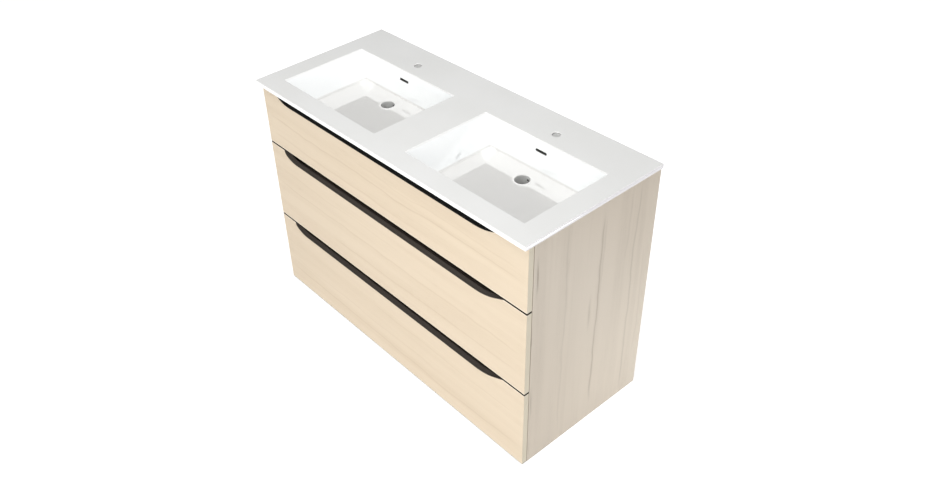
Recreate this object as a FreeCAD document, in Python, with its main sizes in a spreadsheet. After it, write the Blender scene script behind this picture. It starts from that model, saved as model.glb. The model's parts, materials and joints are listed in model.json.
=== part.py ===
import FreeCAD, Part
import math
import os
import re
import Sketcher

# Double bathroom vanity cabinet: an oak-finish carcass with three full-width drawers on telescopic
# runners, finger scoops in place of handles, and a one-piece mineral-cast top with two basins.
# Frame: millimetres, X across the width, -Y to the front, +Z up. The origin is on the floor, under
# the middle of the top.

doc = FreeCAD.newDocument("Vanity")

# ---------------------------------------------------------------------------------------------
# Driving sizes
# ---------------------------------------------------------------------------------------------

SIZES = {
    # carcass
    "cabinet_width": 1200,
    "carcass_depth": 485,
    "board": 18,
    "back_board": 8,
    "back_groove": 6,
    "glide_height": 3,
    "glide_length": 60,
    "glide_width": 14,
    "glide_inset": 40,
    "rail_height": 100,
    "stiffener_height": 60,
    "service_height": 150,
    # drawer fronts
    "front_board": 18,
    "front_gap": 2,
    "front_chamfer": 0.6,
    "floor_reveal": 2,
    "reveal": 3,
    "top_reveal": 4,
    "lower_front_height": 292.5,
    "middle_front_height": 297,
    "upper_front_height": 216.5,
    # finger scoop in the upper edge of each front
    "scoop_depth": 34.5,
    "scoop_left_margin": 77,
    "scoop_right_margin": 80,
    "scoop_corner_radius": 24,
    "scoop_heel_radius": 113.7,
    "scoop_sweep_radius": 192,
    "scoop_sweep_angle": 24,
    "lining": 1.2,
    # dark grip channels behind the scoops
    "channel_depth": 28,
    "upper_channel_depth": 15,
    "channel_wall": 1.5,
    "channel_drop": 22,
    "channel_rise": 8,
    "end_plate": 3,
    # drawer boxes
    "box_board": 14,
    "box_bottom": 8,
    "box_groove": 6,
    "box_bottom_rise": 10,
    "box_clearance": 6,
    "box_rear_space": 21,
    "trap_width": 170,
    "trap_wall": 8,
    "trap_front": 75,
    "screw_radius": 2,
    "screw_grip": 12,
    "screw_inset": 120,
    "screw_low_share": 0.3,
    "screw_high_share": 0.75,
    "screw_head_radius": 4,
    "screw_head": 2,
    "bumper_radius": 4,
    "bumper_height": 1.5,
    "bumper_inset": 30,
    # telescopic runners
    "runner_space": 13,
    "runner_steel": 1.2,
    "runner_height": 45,
    "runner_step": 3,
    "runner_play": 0.4,
    "outer_lip_share": 0.65,
    "middle_lip_share": 0.75,
    "runner_rise": 42,
    "runner_front_inset": 4,
    "runner_rear_gap": 5,
    # fittings
    "dowel_radius": 4,
    "dowel_side": 12,
    "dowel_panel": 18,
    "dowel_share": 0.2,
    "cam_radius": 7.5,
    "cam_depth": 13,
    "cam_setback": 34,
    "cam_bolt_radius": 3,
    "cam_bolt_side": 10,
    "wall_hole_radius": 3.5,
    "wall_hole_spacing": 900,
    "wall_hole_share": 0.65,
    "bracket_leg": 30,
    "bracket_steel": 2,
    "bracket_width": 40,
    # mineral-cast top
    "top_thickness": 13,
    "top_side_overhang": 7,
    "top_front_overhang": 20,
    "top_edge_round": 1.5,
    "basin_side_margin": 71,
    "basin_middle_margin": 140,
    "basin_front_margin": 68,
    "basin_rear_ledge": 144,
    "basin_depth": 90,
    "basin_side_lean": 44,
    "basin_front_lean": 30,
    "basin_rear_lean": 22,
    "basin_corner_round": 12,
    "basin_wall": 8,
    "basin_floor": 9,
    "drain_radius": 22.75,
    "drain_setback": 81,
    "drain_block": 68,
    "drain_block_height": 12,
    "drain_spout_radius": 29,
    "drain_spout_length": 23,
    "dish_radius": 36,
    "dish_depth": 0.6,
    "overflow_outlet_radius": 4,
    "slot_length": 43,
    "slot_height": 8,
    "slot_drop": 32,
    "slot_boss": 12,
    "duct_wall": 2,
    "duct_bore": 8,
    "duct_width": 52,
    "tap_recess_radius": 13,
    "tap_setback": 91,
    "tap_web": 7,
}

sheet = doc.addObject("Spreadsheet::Sheet", "Sizes")
for row, (alias, number) in enumerate(SIZES.items(), start=1):
    sheet.set(f"A{row}", alias.replace("_", " "))
    sheet.set(f"B{row}", str(number))
    sheet.setAlias(f"B{row}", alias)
doc.recompute()

WORD = re.compile(r"[a-z_]+")


def formula(text):
    """The text with each size's name written as a reference to the sheet."""
    return WORD.sub(lambda m: "Sizes." + m.group() if m.group() in SIZES else m.group(), str(text))


def bind(thing, prop, text):
    """Tie one property of an object to a formula."""
    thing.setExpression(prop, formula(text))


# ---------------------------------------------------------------------------------------------
# Levels and planes that the pieces share, as formulas
# ---------------------------------------------------------------------------------------------

TOTAL_DEPTH = "(top_front_overhang + front_board + front_gap + carcass_depth)"
TOP_WIDTH = "(cabinet_width + 2 * top_side_overhang)"
FRONT_Y = f"(top_front_overhang - {TOTAL_DEPTH} / 2)"
FRONT_REAR_Y = f"({FRONT_Y} + front_board)"
CARCASS_Y = f"({FRONT_REAR_Y} + front_gap)"
REAR_Y = f"({TOTAL_DEPTH} / 2)"
RAIL_Y = f"({REAR_Y} - board)"
BACK_Y = f"({RAIL_Y} - back_board)"
INNER_X = "(cabinet_width / 2 - board)"
INNER_WIDTH = "(cabinet_width - 2 * board)"

LOWER_Z = "(glide_height + floor_reveal)"
LOWER_TOP = f"({LOWER_Z} + lower_front_height)"
MIDDLE_Z = f"({LOWER_TOP} + reveal)"
MIDDLE_TOP = f"({MIDDLE_Z} + middle_front_height)"
UPPER_Z = f"({MIDDLE_TOP} + reveal)"
UPPER_TOP = f"({UPPER_Z} + upper_front_height)"
CARCASS_TOP = f"({UPPER_TOP} + top_reveal)"
CARCASS_HEIGHT = f"({CARCASS_TOP} - glide_height)"
TOP_Z = f"({CARCASS_TOP} + top_thickness)"
FLOOR_TOP = "(glide_height + board)"

BASIN_WIDTH = f"(({TOP_WIDTH} - 2 * basin_side_margin - basin_middle_margin) / 2)"
BASIN_LENGTH = f"({TOTAL_DEPTH} - basin_front_margin - basin_rear_ledge)"
BASIN_X = f"((basin_middle_margin + {BASIN_WIDTH}) / 2)"
BASIN_REAR_Y = f"({REAR_Y} - basin_rear_ledge)"
BASIN_FLOOR_Z = f"({TOP_Z} - basin_depth)"
DRAIN_Y = f"({BASIN_REAR_Y} - drain_setback)"
SHELL_Z = f"({BASIN_FLOOR_Z} - basin_floor)"
BLOCK_Z = f"({SHELL_Z} - drain_block_height)"
SPOUT_Z = f"({BLOCK_Z} - drain_spout_length)"
SLOT_Z = f"({TOP_Z} - slot_drop)"

BOX_X = f"({INNER_X} - runner_space)"
BOX_INNER_X = f"({BOX_X} - box_board)"
BOX_REAR_Y = f"({BACK_Y} - box_rear_space)"
RUNNER_Y = f"({CARCASS_Y} + runner_front_inset)"
RUNNER_LENGTH = f"({BACK_Y} - runner_rear_gap - {RUNNER_Y})"

# ---------------------------------------------------------------------------------------------
# Makers
# ---------------------------------------------------------------------------------------------

nodes = {}
TURN = {
    "z": FreeCAD.Rotation(),
    "x": FreeCAD.Rotation(FreeCAD.Vector(0, 1, 0), 90),
    "y": FreeCAD.Rotation(FreeCAD.Vector(1, 0, 0), -90),
}


def place(thing, at, axis="z"):
    """Stand a primitive at a point given by three formulas, its own Z along the given axis."""
    thing.Placement = FreeCAD.Placement(FreeCAD.Vector(), TURN[axis])
    for letter, text in zip("xyz", at):
        bind(thing, f"Placement.Base.{letter}", text)


def block(size, at):
    """A box with three edge formulas, its lowest corner at a point."""
    thing = doc.addObject("Part::Box", "Block")
    for prop, text in zip(("Length", "Width", "Height"), size):
        bind(thing, prop, text)
    place(thing, at)
    return thing


def rod(radius, length, at, axis="z"):
    """A cylinder that starts at a point and runs along an axis."""
    thing = doc.addObject("Part::Cylinder", "Rod")
    bind(thing, "Radius", radius)
    bind(thing, "Height", length)
    place(thing, at, axis)
    return thing


def fuse(pieces):
    """Several solids as one shape: joined where they meet, side by side where they don't."""
    if len(pieces) == 1:
        return pieces[0]
    thing = doc.addObject("Part::MultiFuse", "Fuse")
    thing.Shapes = pieces
    return thing


def cut(base, tools):
    """A solid with other solids taken away."""
    thing = doc.addObject("Part::Cut", "Cut")
    thing.Base = base
    thing.Tool = fuse(tools)
    return thing


def rounded(base, radius, chosen):
    """A solid with the chosen edges rounded to one radius of the sheet."""
    doc.recompute()
    thing = doc.addObject("Part::Fillet", "Fillet")
    thing.Base = base
    size = float(sheet.get(radius))
    edges = enumerate(base.Shape.Edges, start=1)
    thing.Edges = [(number, size, size) for number, edge in edges if chosen(edge)]
    return thing


def node(name, thing):
    """Keep an object as a sub-part with a name of its own."""
    thing.Label = name
    nodes[name] = thing
    return thing


def value(text):
    """The number that a formula gives with the sheet's present values."""
    names = {alias: float(sheet.get(alias)) for alias in SIZES}
    total = text
    for alias in sorted(names, key=len, reverse=True):
        total = re.sub(rf"\b{alias}\b", repr(names[alias]), total)
    probe = doc.addObject("App::FeaturePython", "Probe")
    probe.addProperty("App::PropertyFloat", "Number")
    probe.setExpression("Number", total)
    probe.recompute()
    number = probe.Number
    doc.removeObject(probe.Name)
    return number


# ---------------------------------------------------------------------------------------------
# Carcass boards, with the holes of their fittings
# ---------------------------------------------------------------------------------------------

# Each cross board: its level, height, front plane, depth, and where its dowels and cams sit in Y.
BOTTOM_DEPTH = f"({BACK_Y} - {CARCASS_Y})"
CROSS_BOARDS = {
    "bottom_panel": ("glide_height", "board", CARCASS_Y, BOTTOM_DEPTH),
    "rear_rail_bottom": (FLOOR_TOP, "rail_height", RAIL_Y, "board"),
    "rear_rail_middle": (f"({CARCASS_TOP} - rail_height - service_height - stiffener_height)",
                         "stiffener_height", RAIL_Y, "board"),
    "rear_rail_top": (f"({CARCASS_TOP} - rail_height)", "rail_height", RAIL_Y, "board"),
}


# Along a board's end: a dowel, the cam and a dowel, as shares of its length.
FITTING_SHARES = ("dowel_share", "0.5", "(1 - dowel_share)")


def fitting_lines(low, tall, front, deep, lying):
    """The Y and Z of two dowels and one cam in the end of a cross board."""
    if lying:
        mid = f"({low} + {tall} / 2)"
        places = [(f"{front} + {share} * {deep}", mid) for share in FITTING_SHARES]
    else:
        mid = f"({front} + {deep} / 2)"
        places = [(mid, f"{low} + {share} * {tall}") for share in FITTING_SHARES]
    first, cam, last = places
    return [first, last], cam


side_holes = {-1: [], 1: []}
dowels = []
cams = []
cam_bolts = []
for name, (low, tall, front, deep) in CROSS_BOARDS.items():
    lying = name == "bottom_panel"
    board_holes = []
    dowel_lines, cam_line = fitting_lines(low, tall, front, deep, lying)
    for side in (-1, 1):
        for y, z in dowel_lines:
            start = f"{INNER_X} - dowel_panel" if side > 0 else f"-{INNER_X} - dowel_side"
            for keeper in (dowels, side_holes[side], board_holes):
                keeper.append(rod("dowel_radius", "dowel_side + dowel_panel", (start, y, z), "x"))
        y, z = cam_line
        # The bolt ends at the cam's rim; its hole in the board runs on to the cam's middle.
        rim = "(cam_setback - cam_radius)"
        for keeper, reach in ((cam_bolts, rim), (side_holes[side], rim), (board_holes, "cam_setback")):
            start = f"{INNER_X} - {reach}" if side > 0 else f"-{INNER_X} - cam_bolt_side"
            keeper.append(rod("cam_bolt_radius", f"{reach} + cam_bolt_side", (start, y, z), "x"))
        x = f"{side} * ({INNER_X} - cam_setback)"
        where = (x, y, low) if lying else (x, RAIL_Y, z)
        for keeper in (cams, board_holes):
            keeper.append(rod("cam_radius", "cam_depth", where, "z" if lying else "y"))
    if name == "rear_rail_top":
        for side in (-1, 1):
            where = (f"{side} * wall_hole_spacing / 2", RAIL_Y, f"{low} + wall_hole_share * {tall}")
            board_holes.append(rod("wall_hole_radius", "board", where, "y"))
    board = block((INNER_WIDTH, deep, tall), (f"-{INNER_X}", front, low))
    node(name, cut(board, board_holes))

node("dowels", fuse(dowels))
node("cam_locks", fuse(cams))
node("cam_bolts", fuse(cam_bolts))

# The back board stands in a groove of each side and on the floor board's rear edge line.
BACK_TOP = f"({CARCASS_TOP} - rail_height - service_height)"
for side, word in ((-1, "left"), (1, "right")):
    x = "-cabinet_width / 2" if side < 0 else INNER_X
    board = block(("board", "carcass_depth", CARCASS_HEIGHT), (x, CARCASS_Y, "glide_height"))
    groove_x = f"-{INNER_X} - back_groove" if side < 0 else INNER_X
    groove = block(("back_groove", "back_board", f"{BACK_TOP} - glide_height"),
                   (groove_x, BACK_Y, "glide_height"))
    node(f"side_panel_{word}", cut(board, [groove] + side_holes[side]))

node("back_panel", block((f"{INNER_WIDTH} + 2 * back_groove", "back_board", f"{BACK_TOP} - glide_height"),
                         (f"-{INNER_X} - back_groove", BACK_Y, "glide_height")))

# Plastic glides under the two sides and the middle of the floor board.
glides = []
for x in ("-(cabinet_width - board) / 2", "0", "(cabinet_width - board) / 2"):
    for y in (f"{CARCASS_Y} + glide_inset", f"{BACK_Y} - glide_inset - glide_length"):
        glides.append(block(("glide_width", "glide_length", "glide_height"),
                            (f"{x} - glide_width / 2", y, "0")))
node("glides", fuse(glides))

# ---------------------------------------------------------------------------------------------
# Grip channels: dark C-profiles between the sides, open to the front
# ---------------------------------------------------------------------------------------------

CHANNELS = {
    "lower": (LOWER_TOP, "channel_depth"),
    "middle": (MIDDLE_TOP, "channel_depth"),
    "upper": (UPPER_TOP, "upper_channel_depth"),
}
end_plates = []
for word, (edge, deep) in CHANNELS.items():
    low = f"({edge} - scoop_depth - channel_drop)"
    high = CARCASS_TOP if word == "upper" else f"({edge} + reveal / 2 + channel_rise)"
    length = f"({INNER_WIDTH} - 2 * end_plate)"
    start = f"(end_plate - {INNER_X})"
    body = block((length, deep, f"{high} - {low}"), (start, CARCASS_Y, low))
    hollow = block((length, f"{deep} - channel_wall", f"{high} - {low} - 2 * channel_wall"),
                   (start, CARCASS_Y, f"{low} + channel_wall"))
    node(f"grip_channel_{word}", cut(body, [hollow]))
    for x in (f"-{INNER_X}", f"{INNER_X} - end_plate"):
        end_plates.append(block(("end_plate", deep, f"{high} - {low}"), (x, CARCASS_Y, low)))
node("channel_end_plates", fuse(end_plates))

# ---------------------------------------------------------------------------------------------
# Drawer fronts: a board with a finger scoop, and the dark lining of the scoop
# ---------------------------------------------------------------------------------------------


def plane_of(body, role):
    """One of a body's own origin planes."""
    return [feature for feature in body.Origin.OriginFeatures if feature.Role == role][0]


def sketch_in(body, name):
    """A sketch on the body's own upright plane, X to the right and Z up."""
    sketch = body.newObject("Sketcher::SketchObject", name)
    sketch.AttachmentSupport = [(plane_of(body, "XZ_Plane"), "")]
    sketch.MapMode = "FlatFace"
    return sketch


def tie(sketch, name, kind, where, text, start):
    """Add a measured constraint with a name, and tie its value to a formula."""
    index = sketch.addConstraint(Sketcher.Constraint(kind, *where, start))
    sketch.renameConstraint(index, name)
    bind(sketch, f"Constraints.{name}", text)


def rectangle_sketch(body, name, low, high):
    """The outline of a front board between two levels, as wide as the cabinet."""
    sketch = sketch_in(body, name)
    half = value("cabinet_width / 2")
    bottom = value(low)
    top = value(high)
    corners = [(-half, bottom), (half, bottom), (half, top), (-half, top)]
    points = [FreeCAD.Vector(x, z, 0) for x, z in corners]
    for start, end in zip(points, points[1:] + points[:1]):
        sketch.addGeometry(Part.LineSegment(start, end))
    for line in range(4):
        sketch.addConstraint(Sketcher.Constraint("Coincident", line, 2, (line + 1) % 4, 1))
    for line, kind in enumerate(("Horizontal", "Vertical", "Horizontal", "Vertical")):
        sketch.addConstraint(Sketcher.Constraint(kind, line))
    tie(sketch, "left", "DistanceX", (0, 1, -1, 1), "cabinet_width / 2", half)
    tie(sketch, "width", "DistanceX", (0, 1, 0, 2), "cabinet_width", 2 * half)
    tie(sketch, "bottom", "DistanceY", (-1, 1, 0, 1), low, bottom)
    tie(sketch, "height", "DistanceY", (1, 1, 1, 2), f"{high} - {low}", top - bottom)
    return sketch


def scoop_sketch(body, name, edge, above, inset):
    """The outline of a finger scoop, closed at a level above the board's edge.

    From the left: down the upright end, round a tight corner into a wide heel, along the flat, up a
    wide sweep and out on a straight slope. An inset keeps every part of the outline that far inside.
    """
    sketch = sketch_in(body, name)
    top = value(f"{edge} + {above}")
    rim = value(edge)
    flat = value(f"{edge} - scoop_depth + {inset}")
    left = value(f"scoop_left_margin - cabinet_width / 2 + {inset}")
    corner = value(f"scoop_corner_radius - {inset}")
    heel = value(f"scoop_heel_radius - {inset}")
    sweep = value(f"scoop_sweep_radius - {inset}")
    slope = math.radians(value("scoop_sweep_angle"))
    right_text = (f"cabinet_width / 2 - scoop_right_margin + {above} / tan(scoop_sweep_angle * 1deg)"
                  f" - {inset} / sin(scoop_sweep_angle * 1deg)")
    right = value(right_text)

    # The corner turns until the heel, tangent to both it and the flat, takes over.
    sine = (heel - (rim - flat)) / (heel - corner)
    cosine = math.sqrt(1 - sine ** 2)
    corner_centre = FreeCAD.Vector(left + corner, rim, 0)
    meet = corner_centre + FreeCAD.Vector(-corner * cosine, -corner * sine, 0)
    heel_centre = FreeCAD.Vector(meet.x + heel * cosine, flat + heel, 0)
    slope_x = right - (top - flat - sweep * (1 - math.cos(slope))) / math.tan(slope)
    sweep_centre = FreeCAD.Vector(slope_x - sweep * math.sin(slope), flat + sweep, 0)
    slope_start = FreeCAD.Vector(slope_x, flat + sweep * (1 - math.cos(slope)), 0)

    half_turn = math.pi
    downwards = 1.5 * math.pi
    tight = math.atan2(sine, cosine)
    axis = FreeCAD.Vector(0, 0, 1)
    upper_left = FreeCAD.Vector(left, top, 0)
    upper_right = FreeCAD.Vector(right, top, 0)
    sketch.addGeometry(Part.LineSegment(upper_right, upper_left))
    sketch.addGeometry(Part.LineSegment(upper_left, FreeCAD.Vector(left, rim, 0)))
    flat_start = FreeCAD.Vector(heel_centre.x, flat, 0)
    flat_end = FreeCAD.Vector(sweep_centre.x, flat, 0)
    corner_circle = Part.Circle(corner_centre, axis, corner)
    heel_circle = Part.Circle(heel_centre, axis, heel)
    sweep_circle = Part.Circle(sweep_centre, axis, sweep)
    sketch.addGeometry(Part.ArcOfCircle(corner_circle, half_turn, half_turn + tight))
    sketch.addGeometry(Part.ArcOfCircle(heel_circle, half_turn + tight, downwards))
    sketch.addGeometry(Part.LineSegment(flat_start, flat_end))
    sketch.addGeometry(Part.ArcOfCircle(sweep_circle, downwards, downwards + slope))
    sketch.addGeometry(Part.LineSegment(slope_start, upper_right))

    sketch.addConstraint(Sketcher.Constraint("Coincident", 6, 2, 0, 1))
    sketch.addConstraint(Sketcher.Constraint("Coincident", 0, 2, 1, 1))
    for first in range(1, 6):
        sketch.addConstraint(Sketcher.Constraint("Tangent", first, 2, first + 1, 1))
    for line, kind in ((0, "Horizontal"), (1, "Vertical"), (4, "Horizontal")):
        sketch.addConstraint(Sketcher.Constraint(kind, line))
    left_text = f"cabinet_width / 2 - scoop_left_margin - {inset}"
    tie(sketch, "left", "DistanceX", (1, 1, -1, 1), left_text, -left)
    tie(sketch, "right", "DistanceX", (-1, 1, 6, 2), right_text, right)
    tie(sketch, "top", "DistanceY", (-1, 1, 0, 1), f"{edge} + {above}", top)
    tie(sketch, "rim", "DistanceY", (-1, 1, 1, 2), edge, rim)
    tie(sketch, "flat", "DistanceY", (-1, 1, 4, 1), f"{edge} - scoop_depth + {inset}", flat)
    tie(sketch, "corner", "Radius", (2,), f"scoop_corner_radius - {inset}", corner)
    tie(sketch, "heel", "Radius", (3,), f"scoop_heel_radius - {inset}", heel)
    tie(sketch, "sweep", "Radius", (5,), f"scoop_sweep_radius - {inset}", sweep)
    tie(sketch, "slope", "Angle", (6,), "scoop_sweep_angle", slope)
    return sketch


def front_body(name):
    """A body whose upright plane is the rear face of the fronts."""
    body = doc.addObject("PartDesign::Body", name)
    bind(body, "Placement.Base.y", FRONT_REAR_Y)
    return body


def pad(body, sketch):
    """Grow a sketch forwards by the thickness of a front."""
    feature = body.newObject("PartDesign::Pad", "Pad")
    feature.Profile = sketch
    bind(feature, "Length", "front_board")
    return feature


def pocket(body, sketch):
    """Cut a sketch right through, both ways."""
    feature = body.newObject("PartDesign::Pocket", "Pocket")
    feature.Profile = sketch
    feature.Type = "ThroughAll"
    feature.Midplane = True
    return feature


FRONTS = {
    "lower": (LOWER_Z, LOWER_TOP),
    "middle": (MIDDLE_Z, MIDDLE_TOP),
    "upper": (UPPER_Z, UPPER_TOP),
}
# How far the cutting outline stands above the board's edge.
OVERCUT = "5"
for word, (low, edge) in FRONTS.items():
    body = front_body(f"Front_{word}")
    pad(body, rectangle_sketch(body, f"Board_{word}", low, edge))
    scooped = pocket(body, scoop_sketch(body, f"Scoop_{word}", edge, OVERCUT, "0"))
    doc.recompute()
    half = value("cabinet_width / 2")
    outer = []
    for number, side in enumerate(scooped.Shape.Edges, start=1):
        box = side.BoundBox
        on_face = box.YMax < 1e-6 - value("front_board")
        at_rim = min(abs(box.XMin - half), abs(box.XMax + half), abs(box.ZMax - value(low))) < 1e-6
        if on_face and at_rim:
            outer.append(f"Edge{number}")
    chamfer = body.newObject("PartDesign::Chamfer", "Chamfer")
    chamfer.Base = (scooped, outer)
    bind(chamfer, "Size", "front_chamfer")
    body.Tip = chamfer
    node(f"drawer_{word}_front", body)

    body = front_body(f"Lining_{word}")
    pad(body, scoop_sketch(body, f"Outside_{word}", edge, OVERCUT, "0"))
    pocket(body, scoop_sketch(body, f"Inside_{word}", edge, OVERCUT, "lining"))
    body.Tip = pocket(body, rectangle_sketch(body, f"Trim_{word}", edge, f"{edge} + 2 * {OVERCUT}"))
    node(f"drawer_{word}_grip_lining", body)

# ---------------------------------------------------------------------------------------------
# Drawer boxes
# ---------------------------------------------------------------------------------------------

BOXES = {
    "lower": (f"({FLOOR_TOP} + 2 * box_clearance)",
              f"({LOWER_TOP} - scoop_depth - channel_drop - box_clearance)"),
    "middle": (f"({MIDDLE_Z} - reveal / 2 + channel_rise + box_clearance)",
               f"({MIDDLE_TOP} - scoop_depth - channel_drop - box_clearance)"),
    "upper": (f"({UPPER_Z} - reveal / 2 + channel_rise + box_clearance)",
              f"({BLOCK_Z} - box_clearance)"),
}
TRAP_Y = f"({DRAIN_Y} - trap_front)"
TRAP_OUTER = "(trap_width + 2 * trap_wall)"
BOX_FRONT_REAR = f"({FRONT_REAR_Y} + box_board)"

for word, (low, high) in BOXES.items():
    tall = f"({high} - {low})"
    bottom_z = f"({low} + box_bottom_rise)"
    groove_length = f"({BOX_REAR_Y} - {FRONT_REAR_Y} - 2 * box_board)"

    # Two sides, each grooved for the bottom.
    for side, hand in ((-1, "left"), (1, "right")):
        x = f"-{BOX_X}" if side < 0 else BOX_INNER_X
        board = block(("box_board", f"{BOX_REAR_Y} - {FRONT_REAR_Y}", tall), (x, FRONT_REAR_Y, low))
        groove_x = f"-{BOX_INNER_X} - box_groove" if side < 0 else BOX_INNER_X
        groove = block(("box_groove", groove_length, "box_bottom"), (groove_x, BOX_FRONT_REAR, bottom_z))
        node(f"drawer_{word}_box_side_{hand}", cut(board, [groove]))

    # The bottom, with room for the two waste traps in the upper drawer.
    bottom = block((f"2 * {BOX_INNER_X} + 2 * box_groove", groove_length, "box_bottom"),
                   (f"-{BOX_INNER_X} - box_groove", BOX_FRONT_REAR, bottom_z))
    rear_board_y = f"({BOX_REAR_Y} - box_board)"
    if word == "upper":
        notches = []
        for side in (-1, 1):
            notches.append(block(("trap_width", f"{rear_board_y} - {TRAP_Y}", "box_bottom"),
                                 (f"{side} * {BASIN_X} - trap_width / 2", TRAP_Y, bottom_z)))
        bottom = cut(bottom, notches)
    node(f"drawer_{word}_box_bottom", bottom)

    # The rear board, whole or in three lengths between the trap recesses.
    if word == "upper":
        trap_inner = f"({BASIN_X} - {TRAP_OUTER} / 2)"
        trap_outer = f"({BASIN_X} + {TRAP_OUTER} / 2)"
        lengths = {
            "left": (f"-{BOX_INNER_X}", f"{BOX_INNER_X} - {trap_outer}"),
            "centre": (f"-{trap_inner}", f"2 * {trap_inner}"),
            "right": (trap_outer, f"{BOX_INNER_X} - {trap_outer}"),
        }
        for hand, (x, length) in lengths.items():
            rear_board = block((length, "box_board", tall), (x, rear_board_y, low))
            node(f"drawer_upper_box_back_{hand}", rear_board)
        liner_z = f"({bottom_z} + box_bottom)"
        for side, hand in ((-1, "left"), (1, "right")):
            outer = block((TRAP_OUTER, f"{BOX_REAR_Y} - {TRAP_Y} + trap_wall", f"{high} - {liner_z}"),
                          (f"{side} * {BASIN_X} - {TRAP_OUTER} / 2", f"{TRAP_Y} - trap_wall", liner_z))
            inner = block(("trap_width", f"{BOX_REAR_Y} - {TRAP_Y}", f"{high} - {liner_z}"),
                          (f"{side} * {BASIN_X} - trap_width / 2", TRAP_Y, liner_z))
            node(f"trap_recess_{hand}", cut(outer, [inner]))
    else:
        node(f"drawer_{word}_box_back", block((f"2 * {BOX_INNER_X}", "box_board", tall),
                                              (f"-{BOX_INNER_X}", rear_board_y, low)))

    # The inner front and the screws that hold the outer front to it.
    screws = []
    screw_ways = []
    for x in (f"-{BOX_INNER_X} + screw_inset", f"{BOX_INNER_X} - screw_inset"):
        for z in (f"{low} + screw_low_share * {tall}", f"{low} + screw_high_share * {tall}"):
            start = f"{FRONT_REAR_Y} - screw_grip"
            shank = rod("screw_radius", "screw_grip + box_board", (x, start, z), "y")
            head = rod("screw_head_radius", "screw_head", (x, BOX_FRONT_REAR, z), "y")
            screws.append(fuse([shank, head]))
            screw_ways.append(rod("screw_radius", "screw_grip + box_board", (x, start, z), "y"))
    inner_front = block((f"2 * {BOX_INNER_X}", "box_board", tall), (f"-{BOX_INNER_X}", FRONT_REAR_Y, low))
    node(f"drawer_{word}_box_front", cut(inner_front, screw_ways))
    node(f"drawer_{word}_front_screws", fuse(screws))
    drilled = cut(nodes[f"drawer_{word}_front"], screw_ways)
    nodes[f"drawer_{word}_front"].Label = f"front_board_{word}"
    node(f"drawer_{word}_front", drilled)

    # Soft bumpers on the rear of the front, where it closes on the side panels.
    bumpers = []
    edge_low, edge_high = FRONTS[word]
    for x in ("-(cabinet_width - board) / 2", "(cabinet_width - board) / 2"):
        for z in (f"{edge_low} + bumper_inset", f"{edge_high} - bumper_inset"):
            bumpers.append(rod("bumper_radius", "bumper_height", (x, FRONT_REAR_Y, z), "y"))
    node(f"drawer_{word}_bumpers", fuse(bumpers))

# ---------------------------------------------------------------------------------------------
# Telescopic runners: three nested C-sections a side
# ---------------------------------------------------------------------------------------------


def section(web_x, lip_x, height, level):
    """A pair of mirrored C-sections: a web at one X, with two lips that reach to another."""
    pieces = []
    low_x = f"min({web_x}; {lip_x})"
    wide = f"(max({web_x}; {lip_x}) - {low_x})"
    into = f"({height} - 2 * runner_steel)"
    for side in (-1, 1):
        x = low_x if side > 0 else f"-({low_x} + {wide})"
        body = block((wide, RUNNER_LENGTH, height), (x, RUNNER_Y, f"{level} - {height} / 2"))
        toward_web = 1 if web_x == max(web_x, lip_x, key=value) else -1
        shift = "0" if toward_web * side > 0 else "runner_steel"
        hollow = block((f"{wide} - runner_steel", RUNNER_LENGTH, into),
                       (f"{x} + {shift}", RUNNER_Y, f"{level} - {into} / 2"))
        pieces.append(cut(body, [hollow]))
    return fuse(pieces)


MIDDLE_WEB = f"({INNER_X} - runner_steel - runner_play)"
for word, (low, high) in BOXES.items():
    level = f"({low} + runner_rise)"
    outer_lip = f"({INNER_X} - outer_lip_share * runner_space)"
    middle_lip = f"({INNER_X} - middle_lip_share * runner_space)"
    inner_lip = f"({MIDDLE_WEB} - runner_steel - runner_play)"
    middle_height = "(runner_height - 2 * runner_step)"
    inner_height = "(runner_height - 4 * runner_step)"
    node(f"runner_outer_{word}", section(INNER_X, outer_lip, "runner_height", level))
    node(f"runner_middle_{word}", section(MIDDLE_WEB, middle_lip, middle_height, level))
    node(f"runner_inner_{word}", section(BOX_X, inner_lip, inner_height, level))

# ---------------------------------------------------------------------------------------------
# Mineral-cast top with two basins
# ---------------------------------------------------------------------------------------------


def tapered(centre_x, low, high, grow, deeper):
    """A basin-shaped block: the rim's rectangle above, a smaller one below, both grown sideways."""
    thing = doc.addObject("Part::Wedge", "Taper")
    half = f"({BASIN_WIDTH} / 2 + {grow})"
    lean = {"side": "basin_side_lean", "rear": "basin_rear_lean", "front": "basin_front_lean"}
    bind(thing, "Xmin", f"{lean['side']} - {half}")
    bind(thing, "Xmax", f"{half} - {lean['side']}")
    bind(thing, "X2min", f"-{half}")
    bind(thing, "X2max", half)
    bind(thing, "Zmin", f"{lean['rear']} - {grow}")
    bind(thing, "Zmax", f"{BASIN_LENGTH} - {lean['front']} + {grow}")
    bind(thing, "Z2min", f"-{grow}")
    bind(thing, "Z2max", f"{BASIN_LENGTH} + {grow}")
    bind(thing, "Ymin", f"-{deeper}")
    bind(thing, "Ymax", f"{high} - {low}")
    thing.Placement = FreeCAD.Placement(FreeCAD.Vector(), FreeCAD.Rotation(FreeCAD.Vector(1, 0, 0), 90))
    for letter, text in zip("xyz", (centre_x, BASIN_REAR_Y, low)):
        bind(thing, f"Placement.Base.{letter}", text)
    return thing


plate = block((TOP_WIDTH, TOTAL_DEPTH, "top_thickness"),
              (f"-{TOP_WIDTH} / 2", f"-{TOTAL_DEPTH} / 2", CARCASS_TOP))
body_parts = [plate]
hollows = []
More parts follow.
